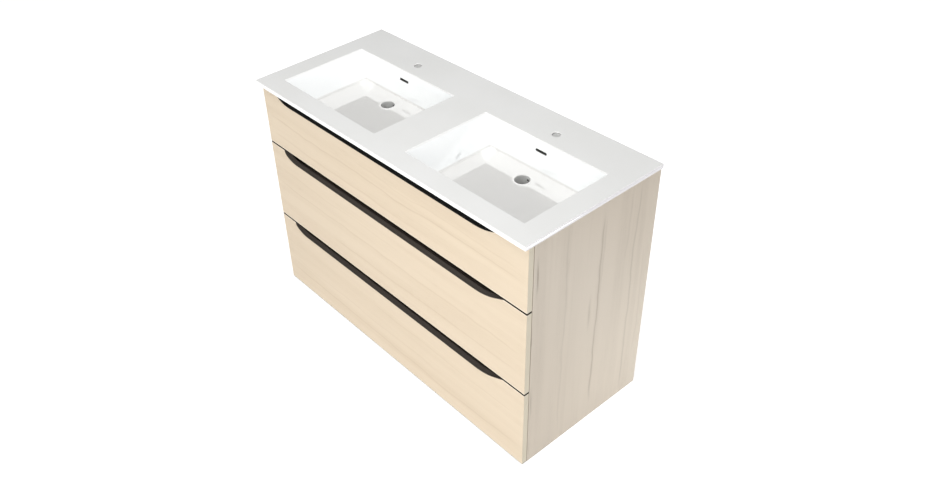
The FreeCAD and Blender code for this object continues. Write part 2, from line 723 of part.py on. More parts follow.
# The outer wall's line at the level of the slot, where the overflow boss grows out of it.
BOSS_Y = f"({BASIN_REAR_Y} + basin_wall)"
BOSS_BACK_Y = f"({BOSS_Y} + slot_boss - basin_wall)"
rim_level = value(TOP_Z)
for side in (-1, 1):
    centre = f"({side} * {BASIN_X})"
    body_parts.append(tapered(centre, BASIN_FLOOR_Z, TOP_Z, "basin_wall", "basin_floor"))
    body_parts.append(block(("drain_block", "drain_block", f"{BASIN_FLOOR_Z} - {BLOCK_Z}"),
                            (f"{centre} - drain_block / 2", f"{DRAIN_Y} - drain_block / 2", BLOCK_Z)))
    # A round spout below the block reaches into the trap recess of the upper drawer.
    body_parts.append(rod("drain_spout_radius", "drain_spout_length", (centre, DRAIN_Y, SPOUT_Z)))
    boss_low = f"({SLOT_Z} - slot_height / 2 - 2 * duct_wall)"
    boss_deep = f"({BOSS_BACK_Y} - {BASIN_REAR_Y} + basin_rear_lean)"
    body_parts.append(block(("duct_width", boss_deep, f"{CARCASS_TOP} - {boss_low}"),
                            (f"{centre} - duct_width / 2", f"{BOSS_BACK_Y} - {boss_deep}", boss_low)))
    cavity = tapered(centre, BASIN_FLOOR_Z, TOP_Z, "0", "0")
    hollows.append(rounded(cavity, "basin_corner_round", lambda edge: edge.BoundBox.ZMin < rim_level - 1))
    dish = doc.addObject("Part::Cone", "Dish")
    bind(dish, "Radius1", "drain_radius")
    bind(dish, "Radius2", "dish_radius")
    bind(dish, "Height", "dish_depth")
    place(dish, (centre, DRAIN_Y, f"{BASIN_FLOOR_Z} - dish_depth"))
    hollows.append(dish)
    hollows.append(rod("drain_radius", f"{BASIN_FLOOR_Z} - {SPOUT_Z}", (centre, DRAIN_Y, SPOUT_Z)))
    outlet_z = f"({SHELL_Z} - drain_block_height / 2)"
    hollows.append(rod("overflow_outlet_radius", "drain_block / 2", (centre, DRAIN_Y, outlet_z), "y"))
    # The tap's place is a shallow round recess; the fitter drills through the web under it.
    hollows.append(rod("tap_recess_radius", "top_thickness - tap_web",
                       (centre, f"{REAR_Y} - tap_setback", f"{CARCASS_TOP} + tap_web")))
    slot_y = f"({BASIN_REAR_Y} - basin_rear_lean)"
    slot_long = f"({BOSS_BACK_Y} - {slot_y})"
    straight = "(slot_length - slot_height)"
    hollows.append(block((straight, slot_long, "slot_height"),
                         (f"{centre} - {straight} / 2", slot_y, f"{SLOT_Z} - slot_height / 2")))
    for end in (-1, 1):
        end_x = f"{centre} + {end} * {straight} / 2"
        hollows.append(rod("slot_height / 2", slot_long, (end_x, slot_y, SLOT_Z), "y"))

    # The overflow duct: down from the slot's boss, then forward under the basin to the drain block.
    word = "left" if side < 0 else "right"
    wide = "duct_width"
    reach = "(duct_bore + 2 * duct_wall)"
    foot_front = f"({DRAIN_Y} + drain_block / 2)"
    duct_high = f"({SLOT_Z} + slot_height / 2 + 2 * duct_wall)"
    leg = block((wide, reach, f"{duct_high} - {BLOCK_Z}"),
                (f"{centre} - {wide} / 2", BOSS_BACK_Y, BLOCK_Z))
    foot = block((wide, f"{BOSS_BACK_Y} - {foot_front}", f"{SHELL_Z} - {BLOCK_Z}"),
                 (f"{centre} - {wide} / 2", foot_front, BLOCK_Z))
    bore_wide = f"({wide} - 2 * duct_wall)"
    bore_x = f"{centre} - {bore_wide} / 2"
    leg_bore = block((bore_wide, "duct_bore", f"{duct_high} - {BLOCK_Z} - 2 * duct_wall"),
                     (bore_x, f"{BOSS_BACK_Y} + duct_wall", f"{BLOCK_Z} + duct_wall"))
    foot_bore = block((bore_wide, f"{BOSS_BACK_Y} - {foot_front} + duct_wall",
                       f"{SHELL_Z} - {BLOCK_Z} - 2 * duct_wall"),
                      (bore_x, foot_front, f"{BLOCK_Z} + duct_wall"))
    mouth = block(("slot_length", "duct_wall", "slot_height"),
                  (f"{centre} - slot_length / 2", BOSS_BACK_Y, f"{SLOT_Z} - slot_height / 2"))
    node(f"overflow_duct_{word}", cut(fuse([leg, foot]), [leg_bore, foot_bore, mouth]))

casting = cut(fuse(body_parts), hollows)
doc.recompute()


def on_rim(edge):
    """True for the top's outer upper edges and corners and for the straight rims of the basins."""
    return edge.BoundBox.ZMin > rim_level - 1e-6 and not edge.isClosed()


node("countertop", rounded(casting, "top_edge_round", on_rim))

# Four steel angles that tie the top to the side panels.
brackets = []
for side in (-1, 1):
    for y in (f"{CARCASS_Y} + 2 * bracket_width", f"{RAIL_Y} - 2 * bracket_width"):
        leg_x = f"{INNER_X} - bracket_leg" if side > 0 else f"-{INNER_X}"
        flat = block(("bracket_leg", "bracket_width", "bracket_steel"),
                     (leg_x, y, f"{CARCASS_TOP} - bracket_steel"))
        web_x = f"{INNER_X} - bracket_steel" if side > 0 else f"-{INNER_X}"
        web = block(("bracket_steel", "bracket_width", "bracket_leg"),
                    (web_x, y, f"{CARCASS_TOP} - bracket_leg"))
        brackets.append(fuse([flat, web]))
node("top_brackets", fuse(brackets))

# ---------------------------------------------------------------------------------------------
# Check and export
# ---------------------------------------------------------------------------------------------

doc.recompute()
faults = [thing.Label for thing in doc.Objects if {"Invalid", "Error"} & set(thing.State)]
for name, thing in nodes.items():
    if thing.Shape.isNull() or not thing.Shape.isValid() or not thing.Shape.Solids:
        faults.append(name)
if faults:
    raise SystemExit("these objects failed: " + ", ".join(faults))

os.makedirs("parts", exist_ok=True)
for name, thing in nodes.items():
    thing.Shape.exportStep(f"parts/{name}.step")
    box = thing.Shape.BoundBox
    print(f"{name}: {len(thing.Shape.Solids)} solid(s), {thing.Shape.Volume / 1000:.0f} cm3, "
          f"{box.XLength:.1f} x {box.YLength:.1f} x {box.ZLength:.1f}")
print(len(nodes), "nodes")
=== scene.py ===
# %% [markdown]
# # A double vanity cabinet, finished in Blender
# The cabinet is already built in CAD, at its real size: boards, runners, drawers and the top.
# Here each piece gets the surface that it has in a bathroom, and the cast top gets its real shape.
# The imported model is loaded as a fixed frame. Nothing in it is moved; new pieces are placed by it.

# %% Load the frame
import json
from itertools import chain
from math import cos, pi, radians, sin

import bpy
import numpy as np
from mathutils import Matrix, Vector


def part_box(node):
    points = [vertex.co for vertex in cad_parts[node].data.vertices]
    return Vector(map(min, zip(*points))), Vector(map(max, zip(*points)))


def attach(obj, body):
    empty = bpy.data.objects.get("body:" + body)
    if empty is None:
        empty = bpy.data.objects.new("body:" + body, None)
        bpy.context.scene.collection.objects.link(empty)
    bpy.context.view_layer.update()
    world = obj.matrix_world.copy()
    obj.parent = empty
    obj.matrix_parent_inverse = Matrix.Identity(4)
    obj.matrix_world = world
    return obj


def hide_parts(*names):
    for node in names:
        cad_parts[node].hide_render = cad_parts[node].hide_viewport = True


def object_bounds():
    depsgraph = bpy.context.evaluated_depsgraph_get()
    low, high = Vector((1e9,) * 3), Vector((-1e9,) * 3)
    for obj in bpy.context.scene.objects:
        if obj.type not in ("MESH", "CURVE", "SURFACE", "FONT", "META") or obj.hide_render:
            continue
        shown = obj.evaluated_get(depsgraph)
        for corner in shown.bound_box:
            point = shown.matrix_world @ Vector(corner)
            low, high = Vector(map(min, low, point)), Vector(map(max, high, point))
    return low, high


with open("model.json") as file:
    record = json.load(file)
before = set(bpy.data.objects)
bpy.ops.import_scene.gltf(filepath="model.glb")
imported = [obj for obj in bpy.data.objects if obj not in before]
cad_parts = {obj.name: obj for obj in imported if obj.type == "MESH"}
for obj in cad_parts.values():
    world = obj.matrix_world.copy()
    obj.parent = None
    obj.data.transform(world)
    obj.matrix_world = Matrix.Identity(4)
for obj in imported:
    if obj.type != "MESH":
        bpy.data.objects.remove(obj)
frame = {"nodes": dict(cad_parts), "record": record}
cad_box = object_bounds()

nodes = frame["nodes"]
mounts = {mount["name"]: mount for mount in frame["record"]["mounts"]}
print(len(nodes), "nodes in a box from", tuple(cad_box[0]), "to", tuple(cad_box[1]))

# %% [markdown]
# ## How the top's shape is described
# The top is one casting of mineral resin: a thin plate whose two basins sink into it without a seam.
# It could be carved from a block with booleans, but a cut leaves hard edges and a cast has none.
# Seen from above, every point of a casting has one depth, because it has to come out of its mould.
# So the shape is a depth that is worked out for each point of a grid, and soft edges come from
# soft minimums and maximums, which melt two surfaces into each other over a chosen height.

# %% Soft minimum and maximum
def softer(first, second, melt, sign):
    """The larger (sign 1) or smaller (sign -1) of two heights. Where they differ by less than melt,
    the square of melt less that difference, over four times melt, is added or taken off. That is a
    parabola that touches both, in place of the corner between them."""
    near = np.maximum(melt - np.abs(first - second), 0)
    pick = np.maximum(first, second) if sign > 0 else np.minimum(first, second)
    return pick + sign * near ** 2 / (4 * melt)


print("two walls 20 mm deep that melt over 4 mm meet at", softer(0.020, 0.020, 0.004, -1))

# %% [markdown]
# ### The measures of the casting
# The plate's outline is the CAD node's own box, and the drains' and tap holes' places are the
# record's mounts. The plate's thickness, the basins' rims, depth and slopes, and the roundings are
# stated here.

# %% Measures of the top, in metres
low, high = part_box("countertop")
TOP_Z = high.z
PLATE_THICKNESS = 0.013
EDGE_ROUND = 0.0015
CORNER_RADIUS = 0.003

BASIN_HALF_WIDTH = 0.233
RIM_FRONT = low.y + 0.068
RIM_REAR = high.y - 0.144
BASIN_DEPTH = 0.090
SIDE_LEAN, FRONT_LEAN, REAR_LEAN = 0.044, 0.030, 0.022
WALL, FLOOR = 0.008, 0.009

RIM_MELT, VALLEY_MELT, FOOT_MELT = 0.002, 0.004, 0.003
DISH_RADIUS, DISH_DEPTH, DISH_MELT = 0.036, 0.0006, 0.0003

drains = [Vector(mounts[f"drain_{side}"]["pos_m"]) for side in ("left", "right")]
taps = [Vector(mounts[f"tap_hole_{side}"]["pos_m"]) for side in ("left", "right")]
DRAIN_RADIUS = mounts["drain_left"]["dims"]["r_mm"] / 1000
TAP_RADIUS = mounts["tap_hole_left"]["dims"]["r_mm"] / 1000
TAP_DEPTH = mounts["tap_hole_left"]["dims"]["length_mm"] / 1000
print("basins", 2 * BASIN_HALF_WIDTH, "wide and", round(RIM_REAR - RIM_FRONT, 4), "from front to rear")

# %% [markdown]
# ### The depth of the basins
# A basin is four sloping walls over a flat floor. At a point that lies some distance inside the rim,
# a wall alone would be as deep as that distance times its steepness. The real depth is the least of
# the four walls and the floor, melted where they meet, and never less than nothing outside the rim.

# %% Depth of the basins' faces
def walls_depth(x, y, centre_x, grown, melt):
    """The least of four ramps. Each ramp is the distance inside its side of the rim, plus the
    thickness that the wall is grown by, times the basin's depth over the wall's lean."""
    gaps = [
        (x - (centre_x - BASIN_HALF_WIDTH), SIDE_LEAN),
        ((centre_x + BASIN_HALF_WIDTH) - x, SIDE_LEAN),
        (y - RIM_FRONT, FRONT_LEAN),
        (RIM_REAR - y, REAR_LEAN),
    ]
    ramps = []
    for gap, lean in gaps:
        slope = BASIN_DEPTH / lean
        sideways = grown * (1 + slope ** 2) ** 0.5 / slope
        ramps.append((gap + sideways) * slope)
    return softer(
        softer(ramps[0], ramps[1], melt, -1), softer(ramps[2], ramps[3], melt, -1), melt, -1
    )


def upper_depth(x, y):
    """Depth of the upper face below the plate: walls, floor and a shallow cone round each drain."""
    depth = np.zeros(np.broadcast(x, y).shape)
    for drain in drains:
        reach = np.hypot(x - drain.x, y - drain.y)
        cone = DISH_DEPTH * (DISH_RADIUS - reach) / (DISH_RADIUS - DRAIN_RADIUS)
        floor = BASIN_DEPTH + softer(cone, 0, DISH_MELT, 1)
        walls = walls_depth(x, y, drain.x, 0, VALLEY_MELT)
        basin = softer(softer(walls, floor, FOOT_MELT, -1), 0, RIM_MELT, 1)
        depth = np.maximum(depth, basin)
    return depth


def under_depth(x, y):
    """Depth of the underside: the plate's thickness, or the basins' shells where they hang lower."""
    depth = np.full(np.broadcast(x, y).shape, PLATE_THICKNESS)
    for drain in drains:
        walls = walls_depth(x, y, drain.x, WALL, VALLEY_MELT)
        shell = softer(walls, BASIN_DEPTH + FLOOR, FOOT_MELT, -1)
        depth = softer(depth, shell, RIM_MELT, 1)
    return depth


print("depth beside the drain", round(float(upper_depth(drains[0].x + 0.03, drains[0].y)), 4))

# %% [markdown]
# ### The grid
# Both faces are drawn on one grid of crossing lines. The lines are close where the surface bends, at
# the rims and at the feet of the walls, and far apart where it is flat, so the mesh stays light and
# the highlights on the rims stay clean. Some lines run along the sides of the blocks of cells that
# make room for the holes.

# %% Places of the grid lines
DRAIN_BLOCK, TAP_BLOCK, SLOT_BLOCK = 0.032, 0.021, 0.025
SLOT_DROP = 0.032
SLOT_BAND = 0.0017
REAR_SLOPE = BASIN_DEPTH / REAR_LEAN
SLOT_Z = TOP_Z - SLOT_DROP
slot_inner_y = RIM_REAR - SLOT_DROP / REAR_SLOPE
slot_outer_y = slot_inner_y + WALL * (1 + REAR_SLOPE ** 2) ** 0.5 / REAR_SLOPE


def grid_lines(marks):
    """marks is a list of (place, step): from each place to the next, equal gaps of at most step."""
    runs = []
    for (start, step), (end, _) in zip(marks, marks[1:]):
        count = max(1, int(np.ceil((end - start) / step - 1e-6)))
        runs.append(np.linspace(start, end, count + 1)[:-1])
    return np.concatenate(runs + [[marks[-1][0]]])


def basin_marks_x(centre):
    """Lines across one basin, the same from both sides towards its drain."""
    half = [
        (BASIN_HALF_WIDTH + 0.003, 0.0007), (BASIN_HALF_WIDTH - 0.004, 0.005),
        (BASIN_HALF_WIDTH - SIDE_LEAN + 0.009, 0.0018), (BASIN_HALF_WIDTH - SIDE_LEAN - 0.009, 0.014),
        (DISH_RADIUS + 0.004, 0.002), (DRAIN_BLOCK, 0.004),
        (SLOT_BLOCK, 0.004), (TAP_BLOCK, 0.0035),
    ]
    left = [(centre - reach, step) for reach, step in half]
    steps = [step for _, step in half]
    right = [(centre + reach, step) for (reach, _), step in zip(half[::-1], steps[-2::-1] + [0.03])]
    return left + right


x_marks = [(low.x + EDGE_ROUND, 0.0008), (low.x + 0.005, 0.03)]
x_marks += basin_marks_x(drains[0].x) + basin_marks_x(drains[1].x)
x_marks += [(high.x - 0.005, 0.0008), (high.x - EDGE_ROUND, 0.001)]
y_marks = [
    (low.y + EDGE_ROUND, 0.0008), (low.y + 0.005, 0.02),
    (RIM_FRONT - 0.003, 0.0007), (RIM_FRONT + 0.004, 0.004),
    (RIM_FRONT + FRONT_LEAN - 0.009, 0.0018), (RIM_FRONT + FRONT_LEAN + 0.007, 0.014),
    (drains[0].y - DISH_RADIUS - 0.004, 0.002), (drains[0].y - DRAIN_BLOCK, 0.004),
    (drains[0].y + DRAIN_BLOCK, 0.004),
    (RIM_REAR - REAR_LEAN - 0.007, 0.0014), (RIM_REAR - REAR_LEAN + 0.007, 0.0025),
    (slot_inner_y - SLOT_BAND, 0.0012), (slot_inner_y + SLOT_BAND, 0.0014),
    (RIM_REAR - 0.003, 0.0006), (slot_outer_y - SLOT_BAND, 0.0012),
    (slot_outer_y + SLOT_BAND, 0.0014), (RIM_REAR + 0.004, 0.018),
    (taps[0].y - TAP_BLOCK, 0.0035), (taps[0].y + TAP_BLOCK, 0.018),
    (high.y - 0.005, 0.0008), (high.y - EDGE_ROUND, 0.001),
]
x_lines, y_lines = grid_lines(x_marks), grid_lines(y_marks)
print(len(x_lines), "lines across and", len(y_lines), "lines from front to rear")

# %% [markdown]
# ### From loops to a closed surface
# A hole in the grid is a block of cells left out. Its edge is a square loop of points, and rings of
# as many points lead from it to the round edge, down the bore and out on the other face. Joining
# each ring to the next with a band of four-sided faces keeps the whole casting one closed skin.

# %% A skin that grows by grids and rings
class Skin:
    """Points and faces of one closed surface, collected as arrays."""

    def __init__(self):
        self.points, self.faces, self.count = [], [], 0
        # Faces noted for the holes' grey, which is painted shade.
        self.shade_faces = []

    def add(self, points):
        """Adds points, given as rows of x, y and z, and returns their numbers."""
        self.points.append(points)
        self.count += len(points)
        return np.arange(self.count - len(points), self.count)

    def sheet(self, numbers, left_out, upwards):
        """Faces of a grid of point numbers, except the left_out blocks, facing up or down."""
        keep = np.ones((numbers.shape[0] - 1, numbers.shape[1] - 1), bool)
        for (i0, i1), (j0, j1) in left_out:
            keep[i0:i1, j0:j1] = False
        corners = [numbers[:-1, :-1], numbers[1:, :-1], numbers[1:, 1:], numbers[:-1, 1:]]
        cells = np.stack([corner[keep] for corner in corners], 1)
        self.faces += (cells if upwards else cells[:, ::-1]).tolist()

    def band(self, ring, next_ring, outwards=False):
        """A band of faces from one ring of point numbers to the next."""
        after, next_after = np.roll(ring, -1), np.roll(next_ring, -1)
        quads = np.stack([ring, after, next_after, next_ring], 1)
        self.faces += (quads[:, ::-1] if outwards else quads).tolist()

    def tunnel(self, ring, shapes, last=None, outwards=False, shade_from=None):
        """Bands through a list of rings given as points, and then to an existing ring. From the band
        numbered by the last argument on, the faces are noted for the holes' grey, which is painted
        shade."""
        for number, shape in enumerate(shapes):
            new, before = self.add(shape), len(self.faces)
            self.band(ring, new, outwards)
            if shade_from is not None and number >= shade_from:
                self.shade_faces += range(before, len(self.faces))
            ring = new
        if last is not None:
            self.band(ring, last, outwards)
        return ring

    def cap(self, ring, centre):
        """Closes a ring with a fan of triangles round one point."""
        middle, before = self.add(np.array([centre])), len(self.faces)
        after = np.roll(ring, -1)
        self.faces += np.stack([ring, after, np.full(len(ring), middle[0])], 1).tolist()
        # The fan's faces take the holes' grey, which is painted shade.
        self.shade_faces += range(before, len(self.faces))

    def mesh(self, name):
        """A Blender object made of the faces and of the points that they use."""
        corners = np.fromiter(chain.from_iterable(self.faces), int)
        sides = np.fromiter(map(len, self.faces), int)
        used = np.zeros(self.count, bool)
        used[corners] = True
        data = bpy.data.meshes.new(name)
        data.vertices.add(used.sum())
        data.vertices.foreach_set("co", np.concatenate(self.points)[used].ravel())
        data.loops.add(len(corners))
        data.loops.foreach_set("vertex_index", (np.cumsum(used) - 1)[corners])
        data.polygons.add(len(sides))
        data.polygons.foreach_set("loop_start", np.cumsum(sides) - sides)
        data.update(calc_edges=True)
        data.polygons.foreach_set("use_smooth", [True] * len(data.polygons))
        # Faces noted for the holes get the second material, whose grey is painted shade.
        material_numbers = np.zeros(len(data.polygons), int)
        material_numbers[self.shade_faces] = 1
        data.polygons.foreach_set("material_index", material_numbers)
        data.set_sharp_from_angle(angle=radians(38))
        piece = bpy.data.objects.new(name, data)
        bpy.context.scene.collection.objects.link(piece)
        return piece


def block_cells(centre_x, centre_y, half_x, half_y):
    """The ranges of grid lines between which a block of cells is left out."""
    i0, i1 = (int(np.abs(x_lines - (centre_x + s * half_x)).argmin()) for s in (-1, 1))
    j0, j1 = (int(np.abs(y_lines - (centre_y + s * half_y)).argmin()) for s in (-1, 1))
    return (i0, i1), (j0, j1)


def block_ring(numbers, block):
    """Point numbers round a block, counter-clockwise from above."""
    (i0, i1), (j0, j1) = block
    return np.concatenate([
        numbers[i0:i1, j0], numbers[i1, j0:j1], numbers[i1:i0:-1, j1], numbers[i0, j1:j0:-1],
    ])


skin = Skin()
grid_x, grid_y = np.meshgrid(x_lines, y_lines, indexing="ij")
print("a grid of", grid_x.size, "points for each face")

# %% [markdown]
# ### The two faces
# The points of the grid are lowered by the depth at each of them. The last few lines before the
# plate's corners are drawn together into a quarter circle, so the corners aren't knife edges.

# %% Upper and lower face
def eased_corners(x, y):
    """Bends the last CORNER_RADIUS at each corner of the plate from a square into a quarter disc:
    each of the two distances is shortened by the root of one minus half the other squared."""
    middle_x, middle_y = (low.x + high.x) / 2, (low.y + high.y) / 2
    inner_x = (high.x - low.x) / 2 - CORNER_RADIUS
    inner_y = (high.y - low.y) / 2 - CORNER_RADIUS
    u = np.clip((np.abs(x - middle_x) - inner_x) / CORNER_RADIUS, 0, 1)
    v = np.clip((np.abs(y - middle_y) - inner_y) / CORNER_RADIUS, 0, 1)
    bent_u, bent_v = u * np.sqrt(1 - v ** 2 / 2), v * np.sqrt(1 - u ** 2 / 2)
    new_x = x + np.sign(x - middle_x) * (bent_u - u) * CORNER_RADIUS
    new_y = y + np.sign(y - middle_y) * (bent_v - v) * CORNER_RADIUS
    return new_x, new_y


def face_points(depth):
    """The grid's points, with corners eased, at the given depths below the top."""
    x, y = eased_corners(grid_x, grid_y)
    return np.stack([x.ravel(), y.ravel(), (TOP_Z - depth).ravel()], 1)


upper = skin.add(face_points(upper_depth(grid_x, grid_y))).reshape(grid_x.shape)
under = skin.add(face_points(under_depth(grid_x, grid_y))).reshape(grid_x.shape)
drain_blocks = [block_cells(d.x, d.y, DRAIN_BLOCK, DRAIN_BLOCK) for d in drains]
tap_blocks = [block_cells(t.x, t.y, TAP_BLOCK, TAP_BLOCK) for t in taps]
slot_blocks = [block_cells(d.x, slot_inner_y, SLOT_BLOCK, SLOT_BAND) for d in drains]
outlet_blocks = [block_cells(d.x, slot_outer_y, SLOT_BLOCK, SLOT_BAND) for d in drains]
skin.sheet(upper, drain_blocks + tap_blocks + slot_blocks, upwards=True)
skin.sheet(under, drain_blocks + outlet_blocks, upwards=False)
print(len(skin.faces), "faces so far")

# %% [markdown]
# ### The plate's edge
# The grid stops one rounding short of the plate's outline. From there rings go round a small quarter
# circle, down the edge, and back under the plate to the lower face.

# %% Rings round the outer edge
outline = ((0, len(x_lines) - 1), (0, len(y_lines) - 1))
upper_edge, under_edge = block_ring(upper, outline), block_ring(under, outline)
flat_x, flat_y = grid_x.ravel()[upper_edge], grid_y.ravel()[upper_edge]
inner_reach = ((high.x - low.x) / 2 - EDGE_ROUND, (high.y - low.y) / 2 - EDGE_ROUND)


def edge_ring(outward, drop):
    """The outline grown outwards by a distance, at a depth below the top."""
    middle_x, middle_y = (low.x + high.x) / 2, (low.y + high.y) / 2
    x = flat_x + np.where(np.abs(flat_x - middle_x) > inner_reach[0] - 1e-6,
                          np.sign(flat_x - middle_x) * outward, 0)
    y = flat_y + np.where(np.abs(flat_y - middle_y) > inner_reach[1] - 1e-6,
                          np.sign(flat_y - middle_y) * outward, 0)
    x, y = eased_corners(x, y)
    return np.stack([x, y, np.full(len(x), TOP_Z - drop)], 1)


turns = np.radians([22, 45, 68, 90])
rings = [edge_ring(EDGE_ROUND * sin(t), EDGE_ROUND * (1 - cos(t))) for t in turns]
rings += [edge_ring(EDGE_ROUND, PLATE_THICKNESS - EDGE_ROUND / 2)]
rings += [edge_ring(EDGE_ROUND * 0.8, PLATE_THICKNESS - EDGE_ROUND / 6)]
rings += [edge_ring(EDGE_ROUND * 0.5, PLATE_THICKNESS)]
skin.tunnel(upper_edge, rings, under_edge, outwards=True)
print("the edge has", len(rings), "rings of", len(upper_edge), "points")

# %% [markdown]
# ### Drains and tap holes
# The drain is a plain round hole with a soft lip, in a spout that hangs below the basin so that a
# waste fitting can be screwed through it. A tap hole starts the same way, but it is only sunk into
# the plate and keeps a web below it, which the fitter drills out where a tap goes.

# %% Round holes
LIP = 0.0014
SPOUT_WALL = 0.006
BLOCK_DROP, SPOUT_DROP = 0.012, 0.023
LIPPED_RINGS = 7
PORT_RADIUS, PORT_BLOCK = 0.004, 0.0052


def circle_like(ring_points, centre, radius, z):
    """A circle whose points lie in the same directions from the centre as a ring's points."""
    away = ring_points[:, :2] - np.array([centre.x, centre.y])
    away = away / np.hypot(away[:, 0], away[:, 1])[:, None] * radius
    flat = away + np.array([centre.x, centre.y])
    return np.column_stack([flat, np.broadcast_to(z, len(flat))])


def points_of(ring):
    """The points behind a ring's numbers."""
    return np.concatenate(skin.points)[ring]


def lipped_rings(start, centre, radius):
    """Rings from a square loop to a hole: three that follow the surface, then a quarter-round lip."""
    circle = circle_like(start, centre, radius + LIP, 0)
    shapes = []
    for share in (0.3, 0.65, 1.0):
        flat = start[:, :2] * (1 - share) + circle[:, :2] * share
        shapes.append(np.column_stack([flat, TOP_Z - upper_depth(flat[:, 0], flat[:, 1])]))
    rim_z = shapes[-1][:, 2]
    for turn in np.radians([25, 50, 75, 90]):
        reach = radius + LIP * (1 - sin(turn))
        shapes.append(circle_like(start, centre, reach, rim_z - LIP * (1 - cos(turn))))
    return shapes


def port(numbers, centre, port_z):
    """A small round outlet in the rear of the bore. Its ring has the loop's directions seen from the
    front, lies on the bore where depth is the root of radius squared less sideways squared, and
    leads straight back to a closed end."""
    away = points_of(numbers[:, 0])[:, :2] - np.array([centre.x, centre.y])
    heading = np.arctan2(away[:, 1], away[:, 0]) - pi / 2
    turn = PORT_BLOCK / DRAIN_RADIUS
    i0, i1 = (int(np.abs(heading - s * turn).argmin()) for s in (-1, 1))
    heights = points_of(numbers[0])[:, 2] - port_z
    j0, j1 = (int(np.abs(heights - s * PORT_BLOCK).argmin()) for s in (1, -1))
    block, before = ((i0, i1), (j0, j1)), len(skin.faces)
    skin.sheet(numbers, [block], upwards=True)
    # The bore's faces take the holes' grey, which is painted shade.
    skin.shade_faces += range(before, len(skin.faces))
    start = block_ring(numbers, block)
    loop = points_of(start)
    u, v = loop[:, 0] - centre.x, loop[:, 2] - port_z
    u, v = u / np.hypot(u, v) * PORT_RADIUS, v / np.hypot(u, v) * PORT_RADIUS
    on_bore = np.sqrt(DRAIN_RADIUS ** 2 - u ** 2)
    port_end = DRAIN_BLOCK - 0.001
    shapes = [np.column_stack([centre.x + u, centre.y + np.broadcast_to(y, len(u)), port_z + v])
              for y in (on_bore, DRAIN_RADIUS + 0.002, port_end)]
    last = skin.tunnel(start, shapes, shade_from=0)
    skin.cap(last, (centre.x, centre.y + port_end, port_z))


def drain(centre, block):
    """A bore through the basin floor: lip, bore, the spout's end and wall, and the block above it."""
    start, end = block_ring(upper, block), block_ring(under, block)
    square = points_of(end)
    block_z = TOP_Z - BASIN_DEPTH - FLOOR - BLOCK_DROP
    spout_z = block_z - SPOUT_DROP
    port_z = block_z + BLOCK_DROP / 2
    first = skin.tunnel(start, lipped_rings(points_of(start), centre, DRAIN_RADIUS))
    heights = [port_z + PORT_BLOCK * share for share in (1, 0.5, 0, -0.5, -1)]
    heights += [spout_z + 0.001, spout_z]
    bore = [first] + [skin.add(circle_like(square, centre, DRAIN_RADIUS, z)) for z in heights]
    numbers = np.column_stack(bore)
    port(np.vstack([numbers, numbers[:1]]), centre, port_z)
    spout = DRAIN_RADIUS + SPOUT_WALL
    shapes = [circle_like(square, centre, spout - 0.001, spout_z)]
    shapes += [circle_like(square, centre, spout, z) for z in (spout_z + 0.001, block_z)]
    shapes += [np.column_stack([square[:, :2], np.full(len(square), block_z)])]
    skin.tunnel(bore[-1], shapes, end, shade_from=0)


def tap_hole(centre, block):
    """A blind hole in the plate: lip, wall, and a flat bottom that closes it."""
    start = block_ring(upper, block)
    square = points_of(start)
    bottom = TOP_Z - TAP_DEPTH
    shapes = lipped_rings(square, centre, TAP_RADIUS)
    shapes += [circle_like(square, centre, TAP_RADIUS, bottom + 0.001)]
    shapes += [circle_like(square, centre, TAP_RADIUS - 0.001, bottom)]
    skin.cap(skin.tunnel(start, shapes, shade_from=LIPPED_RINGS), (centre.x, centre.y, bottom))


for place, block in zip(drains, drain_blocks):
    drain(place, block)
for place, block in zip(taps, tap_blocks):
    tap_hole(place, block)
print("drains", 2 * DRAIN_RADIUS, "and tap holes", 2 * TAP_RADIUS, "across")

# %% [markdown]
# ### The overflow slots
# High in each rear wall a slot with round ends lets water out before it reaches the rim. It is a
# tunnel through the wall and through a boss behind it, which the overflow duct is glued to.

# %% Slots with round ends
SLOT_HALF_LENGTH, SLOT_RADIUS, SLOT_LIP = 0.0215, 0.004, 0.0008
BOSS_DEPTH = 0.012


def slot_ring(loop, centre_x, grow, y):
    """A ring with straight sides and round ends: each point of the loop moves to the nearest point
    that lies one radius from the slot's middle line. y is a number, or None for the inner wall."""
    u, v = loop[:, 0] - centre_x, loop[:, 2] - SLOT_Z
    spine = SLOT_HALF_LENGTH - SLOT_RADIUS
    middle = np.clip(u, -spine, spine)
    reach = np.hypot(u - middle, v)
    new_u = middle + (u - middle) / reach * (SLOT_RADIUS + grow)
    new_v = v / reach * (SLOT_RADIUS + grow)
    wall_y = RIM_REAR - (SLOT_DROP - new_v) / REAR_SLOPE
    return np.column_stack([centre_x + new_u, wall_y if y is None else wall_y * 0 + y, SLOT_Z + new_v])


def overflow(centre, inner_block, outer_block):
    """A tunnel from the basin's rear wall, by a soft lip, to the boss behind the shell."""
    start, end = block_ring(upper, inner_block), block_ring(under, outer_block)
    loop, outer = points_of(start), points_of(end)
    boss_y = RIM_REAR + BOSS_DEPTH
    lip = slot_ring(loop, centre.x, 0, None)
    inside = lip + np.array([0, SLOT_LIP, 0])
    boss = np.column_stack([outer[:, 0], np.full(len(outer), boss_y), outer[:, 2]])
    half_way = lip * 0.35 + inside * 0.65 - [0, SLOT_LIP / 3, 0]
    shapes = [slot_ring(loop, centre.x, SLOT_LIP, None), half_way, inside]
    shapes += [slot_ring(loop, centre.x, 0, boss_y), boss]
    skin.tunnel(start, shapes, end, shade_from=3)


for place, inner_block, outer_block in zip(drains, slot_blocks, outlet_blocks):
    overflow(place, inner_block, outer_block)
top = skin.mesh("vanity_top")
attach(top, "carcass")
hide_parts("countertop")
print("the top has", len(top.data.vertices), "points and", len(top.data.polygons), "faces")

# %% [markdown]
# ## Writing finishes as formulas
# A finish is a small network of nodes. Placed one by one they hide what they are for, so a value
# that varies over a surface is wrapped in a class with operators: writing `0.3 + 0.1 * fibre` adds
# the Math nodes. Every other kind of node comes from one method.

